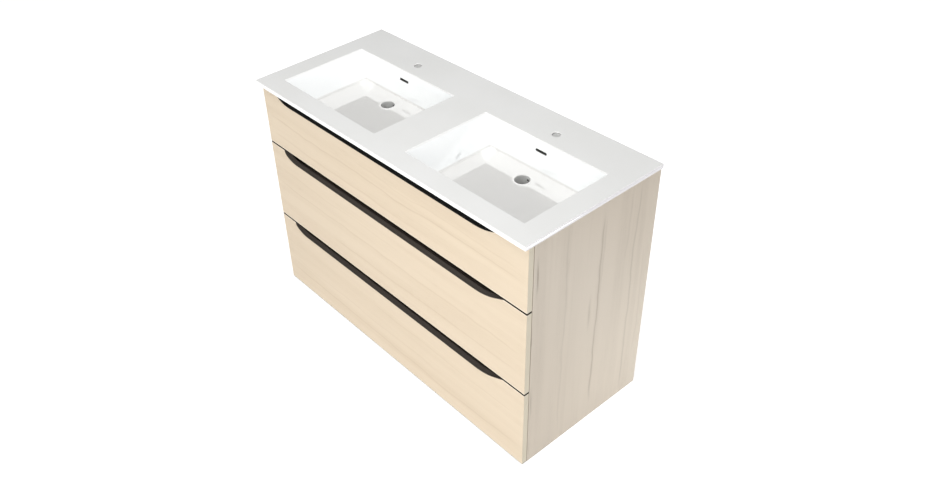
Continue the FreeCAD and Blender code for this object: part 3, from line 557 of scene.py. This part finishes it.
# %% The two classes behind every finish
class Value:
    """What a node gives, such as a number or a colour. Arithmetic on numbers adds Math nodes."""

    def __init__(self, finish, socket):
        self.finish, self.socket = finish, socket

    def math(self, operation, first, second):
        return self.finish.node("Math", {"operation": operation}, {0: first, 1: second})

    def least(self, other):
        """The smaller of two numbers."""
        return self.math("MINIMUM", self, other)

    def __add__(self, other):
        return self.math("ADD", self, other)

    __radd__ = __add__

    def __mul__(self, other):
        return self.math("MULTIPLY", self, other)

    __rmul__ = __mul__

    def __sub__(self, other):
        return self.math("SUBTRACT", self, other)

    def __rsub__(self, other):
        return self.math("SUBTRACT", other, self)

    def __truediv__(self, other):
        return self.math("DIVIDE", self, other)

    def __rtruediv__(self, other):
        return self.math("DIVIDE", other, self)


class Finish:
    """The node tree of one material, or of the world."""

    def __init__(self, tree):
        self.tree = tree
        tree.nodes.clear()

    def node(self, kind, settings=None, sockets=None, out=0):
        """Adds a node: its settings first, then the values or links of its sockets."""
        added = self.tree.nodes.new("ShaderNode" + kind)
        for name, value in (settings or {}).items():
            setattr(added, name, value)
        for name, value in (sockets or {}).items():
            if isinstance(value, Value):
                self.tree.links.new(value.socket, added.inputs[name])
            else:
                added.inputs[name].default_value = value
        return Value(self, added.outputs[out]) if len(added.outputs) else None

    def place(self, scale=(1, 1, 1), shift=(0, 0, 0)):
        """Where a point is on the object, in metres, stretched and shifted."""
        spot = self.node("TexCoord", out="Object")
        return self.node("Mapping", {}, {"Vector": spot, "Scale": scale, "Location": shift})

    def axis(self, number):
        """One of x, y and z (0, 1, 2) of a point on the object, in metres."""
        spot = self.node("TexCoord", out="Object")
        return self.node("SeparateXYZ", {}, {0: spot}, out=number)

    def noise(self, place, scale, detail=2.0, rough=0.5, bend=0.0):
        """Soft random clouds between 0 and 1, so many to the metre."""
        return self.node("TexNoise", {}, {"Vector": place, "Scale": scale, "Detail": detail,
                                          "Roughness": rough, "Distortion": bend})

    def rise(self, value, start, end, low=0.0, high=1.0):
        """Goes smoothly from low to high while the value goes from start to end."""
        return self.node("MapRange", {"interpolation_type": "SMOOTHSTEP"},
                         {0: value, 1: start, 2: end, 3: low, 4: high})

    def mix(self, amount, first, second):
        """A colour between two colours."""
        first, second = ((*c, 1) if isinstance(c, tuple) else c for c in (first, second))
        return self.node("Mix", {"data_type": "RGBA"}, {0: amount, 6: first, 7: second}, out=2)

    def bump(self, height, strength=1.0):
        """Turns a height in metres into a tilted normal."""
        return self.node("Bump", {}, {"Height": height, "Strength": strength, "Distance": 1.0})

    def surface(self, **sockets):
        """The finished surface. Names of sockets are written with _ for a space."""
        named = {name.replace("_", " "): value for name, value in sockets.items()}
        shader = self.node("BsdfPrincipled", {}, named)
        self.node("OutputMaterial", {}, {"Surface": shader})


def new_finish(name):
    """An empty material and its Finish."""
    material = bpy.data.materials.new(name)
    material.use_nodes = True
    return material, Finish(material.node_tree)


print("two helper classes are ready:", Value.__name__, "and", Finish.__name__)

# %% [markdown]
# ## Light oak finish board
# The fronts and the carcass are chipboard with a printed and pressed oak surface, sealed in satin.
# On the fronts the grain runs from side to side, and on the upright panels from top to bottom.
# The print is built as a printer would: a ground colour with broad clouds, long bands that wander,
# fine fibre, short dark pores, and a few drawn growth lines where the real board has them.

# %% The oak's layers
PORE_ACROSS, PORE_ALONG = 1500, 26
FIBRE_ACROSS, FIBRE_ALONG = 620, 5
BAND_ACROSS, BAND_ALONG = 24, 0.9
CLOUD_ACROSS, CLOUD_ALONG = 8, 1.1


def growth_lines(finish, across, along, lines, wander):
    """Adds up drawn lines. Each is one over one plus the squared distance from its course, counted
    in line widths, and it fades out at its two ends. Its course wanders with a slow noise."""
    drawn = 0.0
    for course, width, start, end, depth in lines:
        off = (across + wander - course) / width
        line = 1 / (1 + off * off)
        shown = finish.rise(along, start, start + 0.09) * finish.rise(along, end - 0.09, end, 1, 0)
        drawn = line * line * shown * depth + drawn
    return drawn


def oak(name, upright, seed, lines, ground, dark, edges=None):
    """Oak with its grain along x, or along z when upright. lines are (course, width, start, end,
    depth): the place across the grain, how wide, from where to where along it, and how dark.
    edges are a front's lowest and highest corner: it gets a dark band on its lower and upper edge,
    painted shade for the gaps between the fronts; a paler line beside them, a painted highlight; and a
    darker tone on its ends, painted shade for its end faces."""
    material, finish = new_finish(name)

    def stretched(across, along):
        scale = (across, across, along) if upright else (along, across, across)
        return finish.place(scale, (seed, seed * 0.7, -seed))

    axes = [finish.axis(number) for number in range(3)]
    across, along = (axes[1], axes[2]) if upright else (axes[2], axes[0])
    clouds = finish.noise(stretched(CLOUD_ACROSS, CLOUD_ALONG), 1, 3, 0.55, 0.4)
    bands = finish.noise(stretched(BAND_ACROSS, BAND_ALONG), 1, 3, 0.5, 0.9)
    fibre = finish.noise(stretched(FIBRE_ACROSS, FIBRE_ALONG), 1, 2, 0.6)
    pores = finish.rise(finish.noise(stretched(PORE_ACROSS, PORE_ALONG), 1, 1, 0.5), 0.60, 0.72)
    pores = pores * finish.rise(bands, 0.42, 0.62)
    wander = (finish.noise(stretched(6, 3.4), 1, 3, 0.55) - 0.5) * 0.045
    drawn = growth_lines(finish, across, along, lines, wander)
    drawn = drawn * (0.55 + 0.9 * fibre)
    print_depth = (finish.rise(bands, 0.30, 0.78) * 0.14 + (clouds - 0.5) * 0.30 + (fibre - 0.5) * 0.14
                   + pores * 0.18 + drawn)
    colour = finish.mix(print_depth, ground, dark)
    gap_shade = 0.0
    if edges is not None:
        lower, upper = edges
        from_edge = (axes[2] - lower.z).least(upper.z - axes[2])
        from_end = (axes[0] - lower.x).least(upper.x - axes[0])
        # A paler line beside the dark band, up to 5.6 mm from the edge: a painted highlight along the
        # fronts' edges.
        painted_highlight = finish.rise(from_edge, GAP_SHADE_WIDTH[1], PAINTED_HIGHLIGHT_WIDTH, PAINTED_HIGHLIGHT, 0)
        colour = finish.mix(painted_highlight, colour, PAINTED_HIGHLIGHT_TONE)
        # A darker tone on the fronts' end faces: painted shade, as the ends get less light than the
        # faces.
        colour = finish.mix(finish.rise(from_end, *END_SHADE_WIDTH, END_SHADE, 0), colour, END_SHADE_TONE)
        # A near-black band on the lower and upper edge: painted shade for the gaps between the fronts.
        gap_shade = finish.rise(from_edge, *GAP_SHADE_WIDTH, 1, 0)
        colour = finish.mix(gap_shade, colour, GAP_SHADE_TONE)
    finish.surface(
        Base_Color=colour,
        Roughness=0.44 + 0.08 * fibre + 0.10 * pores + 0.40 * gap_shade,
        Normal=finish.bump(fibre * 0.00006 - pores * 0.00007 - drawn * 0.00004),
        IOR=1.45,
    )
    return material


# Painted shade in the gaps between the fronts: its tone, and how far from the edge it reaches.
GAP_SHADE_TONE, GAP_SHADE_WIDTH = (0.022, 0.013, 0.006), (0.0016, 0.0021)
# The painted highlight beside the fronts' edges: its strength, tone and reach.
PAINTED_HIGHLIGHT, PAINTED_HIGHLIGHT_TONE, PAINTED_HIGHLIGHT_WIDTH = 0.85, (0.80, 0.72, 0.60), 0.0056
# Painted shade on the fronts' end faces: its strength, tone and reach.
END_SHADE, END_SHADE_TONE, END_SHADE_WIDTH = 0.75, (0.46, 0.425, 0.335), (0.0001, 0.0004)
GROUND, DARK = (0.620, 0.517, 0.386), (0.40, 0.292, 0.184)
# The side panels' oak is a darker, greyer copy of the fronts' oak: painted shade for sides that get
# less light than the fronts.
SHADED_SIDE_GROUND, SHADED_SIDE_DARK = (0.486, 0.422, 0.346), (0.265, 0.220, 0.172)
print("four layers, the finest with", PORE_ACROSS, "pores to the metre")

# %% [markdown]
# ### One board after another
# Each front is cut from its own sheet, so each gets its own seed and its own growth lines. The side
# panels show one strong line and several weak ones over their whole height.

# %% Oak for the fronts, the sides and the rest
left_x, right_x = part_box("drawer_upper_front")[0].x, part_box("drawer_upper_front")[1].x
front_lines = {
    "upper": [(0.702, 0.0035, left_x, right_x, 0.30), (0.735, 0.003, -0.15, right_x, 0.16),
              (0.640, 0.004, left_x, 0.20, 0.20)],
    "middle": [(0.443, 0.004, left_x, right_x, 0.26), (0.365, 0.0035, -0.30, right_x, 0.24),
               (0.505, 0.003, left_x, 0.10, 0.15)],
    "lower": [(0.190, 0.0035, -0.10, right_x, 0.16), (0.067, 0.004, left_x, right_x, 0.24),
              (0.115, 0.003, left_x, 0.25, 0.15)],
}
side_lines = [
    (0.0395, 0.0045, 0.05, 0.80, 0.55), (0.050, 0.003, 0.50, 0.80, 0.25),
    (0.1825, 0.0040, 0.00, 0.83, 0.40), (0.1455, 0.0035, 0.55, 0.83, 0.25),
    (-0.0965, 0.0035, 0.02, 0.83, 0.20), (-0.2140, 0.0035, 0.62, 0.79, 0.9),
    (-0.2165, 0.0030, 0.38, 0.56, 0.7), (-0.2150, 0.0030, 0.16, 0.34, 0.6),
    (-0.2150, 0.0030, 0.00, 0.12, 0.4),
    (0.0075, 0.0050, 0.36, 0.54, 0.45), (0.230, 0.0030, 0.10, 0.60, 0.18),
]
oaks = {}
for number, (storey, lines) in enumerate(front_lines.items()):
    board_low, board_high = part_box(f"drawer_{storey}_front")
    oaks[f"drawer_{storey}_front"] = oak(f"oak_front_{storey}", False, 3.1 + 5.3 * number,
                                         lines, GROUND, DARK, (board_low, board_high))
for number, side in enumerate(("left", "right")):
    oaks[f"side_panel_{side}"] = oak(f"oak_side_{side}", True, 11.9 + 4.7 * number,
                                     side_lines, SHADED_SIDE_GROUND, SHADED_SIDE_DARK)
carcass_oak = oak("oak_carcass", False, 27.5, [], GROUND, DARK)
print(len(oaks) + 1, "oak boards, none alike")

# %% [markdown]
# ## Cast mineral resin
# The top is resin filled with marble powder under a clear, polished gel coat. It is almost white and
# mirrors the room sharply. A poured coat is never quite flat, so a slow ripple a few hundredths of a
# millimetre high keeps its reflections alive, and its polish varies a little from place to place.
# Its tone follows the depth below the plate, so one material does for plate, walls and floors: the
# walls get painted light, brighter and bluer, the floors get painted shade, and the plate's right end
# face is greyed as painted shade. The holes get a second, grey material, which is painted shade, near
# black in the overflow's way.

# %% The top's finish
PAINTED_WALL_LIGHT_FROM = (0.002, 0.006)
PAINTED_FLOOR_SHADE_FROM = (BASIN_DEPTH - 0.008, BASIN_DEPTH - 0.002)
PLATE_EDGE_SHADE_WITHIN = (0.0002, 0.0007)
RECESS_SHADE_DEPTH = (0.010, 0.012)


def mineral_cast():
    """The gel coat: brighter and bluer on the basins' walls, a painted light; darker on their floors,
    a painted shade; and grey on the plate's right end face, a painted shade."""
    material, finish = new_finish("mineral_cast_gloss")
    ripple = finish.noise(finish.place(), 14, 2, 0.45)
    haze = finish.noise(finish.place(), 5, 3, 0.55)
    powder = finish.noise(finish.place(), 900, 1, 0.5)
    depth = TOP_Z - finish.axis(2)
    # Brighter, bluer tone on the basins' walls: painted light.
    inside = finish.rise(depth, *PAINTED_WALL_LIGHT_FROM)
    # Darker tone on the basins' floors: painted shade.
    painted_floor_shade = finish.rise(depth, *PAINTED_FLOOR_SHADE_FROM)
    # Grey on the plate's right end face: painted shade.
    painted_plate_edge_shade = finish.rise(high.x - finish.axis(0), *PLATE_EDGE_SHADE_WITHIN, 1, 0)
    colour = finish.mix(finish.rise(haze, 0.35, 0.65), (0.80, 0.80, 0.785), (0.82, 0.82, 0.808))
    colour = finish.mix(inside, colour, (0.865, 0.88, 0.88))
    colour = finish.mix(painted_floor_shade, colour, (0.710, 0.703, 0.685))
    colour = finish.mix(painted_plate_edge_shade, colour, (0.62, 0.60, 0.62))
    finish.surface(
        Base_Color=finish.mix(finish.rise(powder, 0.60, 0.75) * 0.10, colour, (0.73, 0.73, 0.71)),
        Roughness=0.012 + 0.03 * haze + 0.01 * powder,
        Normal=finish.bump(ripple * 0.00003 + powder * 0.0000002),
        IOR=2.5,
    )
    return material


def holes_painted_shade():
    """Painted shade for the holes: grey in the bores, darker in the shallow tap recesses, and near
    black in the overflow's way, the slots and the bores' ports.
    """
    material, finish = new_finish("mineral_cast_painted_shade")
    grit = finish.noise(finish.place(), 1300, 3, 0.6)
    stain = finish.noise(finish.place(), 60, 2, 0.5)
    depth = TOP_Z - finish.axis(2)
    behind = finish.axis(1) - (drains[0].y + DRAIN_RADIUS)
    # Near black in the overflow's way, the slots and the bores' ports: painted shade.
    overflow_painted_shade = (finish.rise(behind, 0.0005, 0.002)
                * finish.rise(depth, PLATE_THICKNESS - 0.002, PLATE_THICKNESS))
    hole_shade_tone = finish.mix(stain * 0.6 + grit * 0.4, (0.50, 0.50, 0.49), (0.62, 0.62, 0.605))
    # Darker still in the shallow tap recesses: painted shade.
    hole_shade_tone = finish.mix(finish.rise(depth, *RECESS_SHADE_DEPTH, 1, 0), hole_shade_tone, (0.44, 0.44, 0.43))
    finish.surface(
        Base_Color=finish.mix(overflow_painted_shade, hole_shade_tone, (0.07, 0.068, 0.064)),
        Roughness=0.55 + 0.2 * grit,
        Normal=finish.bump(grit * 0.0001),
    )
    return material


top.data.materials.append(mineral_cast())
top.data.materials.append(holes_painted_shade())
print("the top wears", top.data.materials[0].name)

# %% [markdown]
# ## Dark grip parts
# Behind the scoops of the fronts lies a dark strip, and behind that a channel that hides the runners
# and the boxes. The strip is matt, pressed foil with a fine grain; its colour is painted lighter at
# its rear, a painted light where the front above shades it, and darker at its front, a painted shade
# where light falls on it. The channel is aluminium that was brushed along its length and anodised dark
# brown.
# The strip and channel under the top are painted black, as painted shade under the top's overhang.

# %% Lining and channel
PAINTED_GRADIENT_SPAN = (0.002, 0.018)


def grip_lining(name, first, second):
    """Pressed foil, from its first tone at the rear to its second at the front: painted lighter at the
    rear, where the front above shades it, and darker at the front, where light falls on it.
    """
    material, finish = new_finish(name)
    grain = finish.noise(finish.place(), 2600, 2, 0.6)
    smudge = finish.noise(finish.place(), 11, 3, 0.6)
    behind = finish.axis(1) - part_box("drawer_upper_front")[0].y
    # Painted light at the rear and painted shade at the front, to even out the shadow of the front
    # above.
    painted_gradient = finish.rise(behind, *PAINTED_GRADIENT_SPAN, 1, 0)
    finish.surface(
        Base_Color=finish.mix(painted_gradient * 0.8 + smudge * 0.2, first, second),
        Roughness=0.50 + 0.14 * grain + 0.06 * smudge,
        Normal=finish.bump(grain * 0.00003),
    )
    return material


def grip_channel(name, first, second):
    """Anodised aluminium, brushed along x."""
    material, finish = new_finish(name)
    brushed = finish.noise(finish.place((6, 900, 900)), 1, 3, 0.65)
    tone = finish.noise(finish.place((0.8, 30, 30)), 1, 2, 0.5)
    finish.surface(
        Base_Color=finish.mix(tone, first, second),
        Metallic=0.25 + 0.2 * tone,
        Roughness=0.34 + 0.16 * brushed,
        Normal=finish.bump(brushed * 0.00002),
    )
    return material


print("the channel's brush lines run along x, 900 to the metre across")

# %% [markdown]
# ## Boards that are only seen when a drawer is open
# Drawer boxes are chipboard with a grey paper surface that is printed like linen: two sets of
# threads that cross. The back of the cabinet is thin fibreboard, felted from wood flour.

# %% Drawer board and back board
def drawer_board():
    """Three thread directions are averaged, so that every face shows the two that lie in it."""
    material, finish = new_finish("drawer_board_linen")
    warp = finish.noise(finish.place((1100, 1100, 40)), 1, 2, 0.6)
    weft = finish.noise(finish.place((40, 1100, 1100)), 1, 2, 0.6)
    depthwise = finish.noise(finish.place((1100, 40, 1100)), 1, 2, 0.6)
    cloud = finish.noise(finish.place(), 6, 3, 0.5)
    threads = (warp + weft + depthwise) / 3
    finish.surface(
        Base_Color=finish.mix(finish.rise(threads, 0.38, 0.62) * 0.7 + cloud * 0.3,
                              (0.60, 0.585, 0.555), (0.74, 0.725, 0.695)),
        Roughness=0.46 + 0.18 * threads,
        Normal=finish.bump(threads * 0.00005),
    )
    return material


def back_board():
    """Felted fibres at three sizes: felt, flour and slow clouds."""
    material, finish = new_finish("back_board_fibre")
    felt = finish.noise(finish.place(), 420, 4, 0.7, 0.6)
    flour = finish.noise(finish.place(), 2400, 2, 0.6)
    cloud = finish.noise(finish.place(), 7, 3, 0.55)
    finish.surface(
        Base_Color=finish.mix(finish.rise(felt, 0.32, 0.70) * 0.6 + cloud * 0.35,
                              (0.74, 0.66, 0.53), (0.55, 0.45, 0.32)),
        Roughness=0.62 + 0.18 * flour,
        Normal=finish.bump(felt * 0.00008 + flour * 0.00003),
    )
    return material


print("linen threads cross 1100 times to the metre")

# %% [markdown]
# ## Small parts
# Runners, screws, cams and angles are zinc plated: dull crystals of slightly different brightness,
# with fine rolling marks. Glides and end plates are moulded black plastic, the overflow ducts white
# plastic, the bumpers clear rubber, and the dowels beech with its short brown flecks.

# %% Steel, plastics, rubber and beech
def zinc_steel():
    """Zinc crystals, softened, under fine lines left by the rolls."""
    material, finish = new_finish("zinc_plated_steel")
    crystals = finish.node("TexVoronoi", {"feature": "SMOOTH_F1"},
                           {"Vector": finish.place(), "Scale": 160.0, "Smoothness": 0.6})
    rolled = finish.noise(finish.place((700, 9, 700)), 1, 3, 0.6)
    cloud = finish.noise(finish.place(), 24, 3, 0.6)
    finish.surface(
        Base_Color=finish.mix(finish.rise(crystals, 0.0, 0.75) * 0.5 + cloud * 0.4,
                              (0.72, 0.73, 0.75), (0.50, 0.51, 0.53)),
        Metallic=0.94 + 0.05 * cloud,
        Roughness=0.26 + 0.16 * rolled + 0.10 * cloud,
        Normal=finish.bump(rolled * 0.000015 + crystals * 0.00001),
    )
    return material


def moulded(name, first, second, rough, grain_height):
    """Moulded plastic: a fine spark-eroded grain, slow changes of tone and of gloss."""
    material, finish = new_finish(name)
    grain = finish.noise(finish.place(), 1900, 3, 0.6)
    tone = finish.noise(finish.place(), 18, 2, 0.5)
    finish.surface(
        Base_Color=finish.mix(tone, first, second),
        Roughness=rough + 0.12 * grain + 0.05 * tone,
        Normal=finish.bump(grain * grain_height),
    )
    return material


def beech():
    """Fibre along x with short dark flecks."""
    material, finish = new_finish("beech_dowel")
    fibre = finish.noise(finish.place((8, 700, 700)), 1, 3, 0.6)
    flecks = finish.rise(finish.noise(finish.place((90, 900, 900)), 1, 1, 0.5), 0.62, 0.74)
    finish.surface(
        Base_Color=finish.mix(fibre * 0.5 + flecks * 0.5, (0.74, 0.57, 0.38), (0.46, 0.30, 0.17)),
        Roughness=0.52 + 0.14 * fibre,
        Normal=finish.bump(fibre * 0.00006 - flecks * 0.00004),
    )
    return material


finishes = {
    "oak_finish_board": carcass_oak,
    "back_board": back_board(),
    "drawer_board": drawer_board(),
    "grip_lining": grip_lining("grip_lining_film", (0.125, 0.104, 0.088), (0.044, 0.037, 0.031)),
    "grip_channel": grip_channel("grip_channel_anodised", (0.150, 0.125, 0.106),
                                 (0.185, 0.155, 0.133)),
    "black_plastic": moulded("black_moulded", (0.022, 0.022, 0.023), (0.036, 0.036, 0.037),
                             0.42, 0.00003),
    "white_plastic": moulded("white_moulded", (0.78, 0.78, 0.77), (0.84, 0.84, 0.83),
                             0.34, 0.00002),
    "clear_bumper": moulded("clear_rubber", (0.70, 0.70, 0.67), (0.80, 0.80, 0.77),
                            0.22, 0.00001),
    "beech": beech(),
    "zinc_steel": zinc_steel(),
}
own_finishes = dict(oaks)
# The upper drawer's strip and channel lie in the shade of the top's overhang: they are painted black,
# a painted shade.
own_finishes["drawer_upper_grip_lining"] = grip_lining("grip_lining_painted_shadow", (0.006,) * 3, (0.003,) * 3)
own_finishes["grip_channel_upper"] = grip_channel("grip_channel_painted_shadow", (0.003,) * 3, (0.005,) * 3)
print(len(finishes), "finishes for the record's slots")

# %% [markdown]
# ### Hanging the finishes on the nodes
# The imported record says which slot each node takes its finish from, so one loop dresses the whole
# cabinet. The fronts, the side panels and the two grip parts under the top, painted black as painted
# shade, have a finish of their own.

# %% Dress every node
for subpart in frame["record"]["subparts"]:
    if subpart["node"] == "countertop":
        continue
    finish = own_finishes.get(subpart["node"], finishes[subpart["material_slot"]])
    for slot in nodes[subpart["node"]].material_slots:
        slot.material = finish

# %% [markdown]
# ## Floor, light and camera
# The cabinet stands in a white studio: a pale floor that is lit so evenly that shadows are almost
# gone, and a pale surrounding. Glossy white needs something dark to mirror, or its gloss can't be
# seen, so one stretch of the surrounding is dark for reflections and stays pale as a background.
# Plain light keeps the finishes honest: a soft box in front, one above, and a bounce from the floor.

# %% Floor
FLOOR_HALF = 14.0
floor_mesh = bpy.data.meshes.new("studio_floor")
floor_corners = [(-FLOOR_HALF, -FLOOR_HALF), (FLOOR_HALF, -FLOOR_HALF),
                 (FLOOR_HALF, FLOOR_HALF), (-FLOOR_HALF, FLOOR_HALF)]
floor_mesh.from_pydata([(x, y, cad_box[0][2]) for x, y in floor_corners], [], [(0, 1, 2, 3)])
floor = bpy.data.objects.new("studio_floor", floor_mesh)
bpy.context.scene.collection.objects.link(floor)
floor_material, finish = new_finish("studio_floor_paint")
finish.surface(Base_Color=(0.55, 0.55, 0.55, 1), Roughness=0.9, Emission_Color=(1, 1, 1, 1),
               Emission_Strength=0.68)
floor_mesh.materials.append(floor_material)
print("the floor lies at z =", cad_box[0][2])

# %% The surrounding, with its dark stretch
DARK_STRETCH = Vector((-0.64, 0.48, 0.60)).normalized()
DARK_EDGE, DARK_CORE = cos(radians(48)), cos(radians(30))
world = bpy.data.worlds.new("studio")
bpy.context.scene.world = world
world.use_nodes = True
sky = Finish(world.node_tree)
towards = sky.node("VectorMath", {"operation": "DOT_PRODUCT"},
                   {0: sky.node("TexCoord", out="Generated"), 1: tuple(DARK_STRETCH)}, out="Value")
mirrored_only = 1 - sky.node("LightPath", out="Is Camera Ray")
darkness = sky.rise(towards, DARK_EDGE, DARK_CORE) * mirrored_only
sky_colour = sky.mix(darkness, (1.0, 1.0, 1.0), (0.04, 0.04, 0.042))
backdrop = sky.node("Background", {}, {"Color": sky_colour, "Strength": 0.82})
sky.node("OutputWorld", {}, {"Surface": backdrop})
print("the dark stretch lies towards", tuple(round(c, 2) for c in DARK_STRETCH))

# %% Lights
def soft_light(name, place, aim, size, watts, colour=(1, 1, 1)):
    """A square soft box at a place, turned towards another place."""
    data = bpy.data.lights.new(name, "AREA")
    data.shape, data.size, data.energy, data.color = "SQUARE", size, watts, colour
    light = bpy.data.objects.new(name, data)
    light.location = place
    light.visible_camera = False
    light.rotation_euler = (Vector(aim) - Vector(place)).to_track_quat("-Z", "Y").to_euler()
    bpy.context.scene.collection.objects.link(light)


soft_light("front_soft_box", (0.92, -1.85, 1.15), (0.35, -0.2, 0.4), 1.0, 11)
soft_light("overhead_soft_box", (0.2, -0.8, 3.1), (0.05, 0.1, 0.8), 1.9, 43)
soft_light("side_bounce", (1.15, 0.36, 0.10), (0.6, 0.20, 0.02), 0.4, 1.7, (0.92, 0.97, 1))
print("two soft boxes and a bounce from the floor")

# %% [markdown]
# ### The camera
# It looks down on the cabinet from its right front corner. It is rolled by a few degrees, and its
# lens is shifted a little, so the cabinet doesn't sit in the exact middle of the view.

# %% Camera
AIM = Vector((0.0723, -0.2425, 0.5718))
DISTANCE = 2.7365
AZIMUTH, ELEVATION, ROLL = radians(53.21), radians(37.08), radians(-4.24)
back = Vector((sin(AZIMUTH) * cos(ELEVATION), -cos(AZIMUTH) * cos(ELEVATION), sin(ELEVATION)))
level = Vector((cos(AZIMUTH), sin(AZIMUTH), 0))
plumb = back.cross(level)
right = level * cos(ROLL) + plumb * sin(ROLL)
up = plumb * cos(ROLL) - level * sin(ROLL)
camera_data = bpy.data.cameras.new("studio_camera")
camera_data.sensor_width, camera_data.lens = 36, 35.54
camera_data.shift_x, camera_data.shift_y = 0.0771, -0.0147
camera = bpy.data.objects.new("studio_camera", camera_data)
columns = Matrix((right, up, back)).transposed()
camera.matrix_world = Matrix.Translation(AIM + back * DISTANCE) @ columns.to_4x4()
bpy.context.scene.collection.objects.link(camera)
bpy.context.scene.camera = camera
bpy.context.scene.view_settings.view_transform = "Standard"
print("the camera stands at", tuple(round(c, 3) for c in camera.matrix_world.translation))
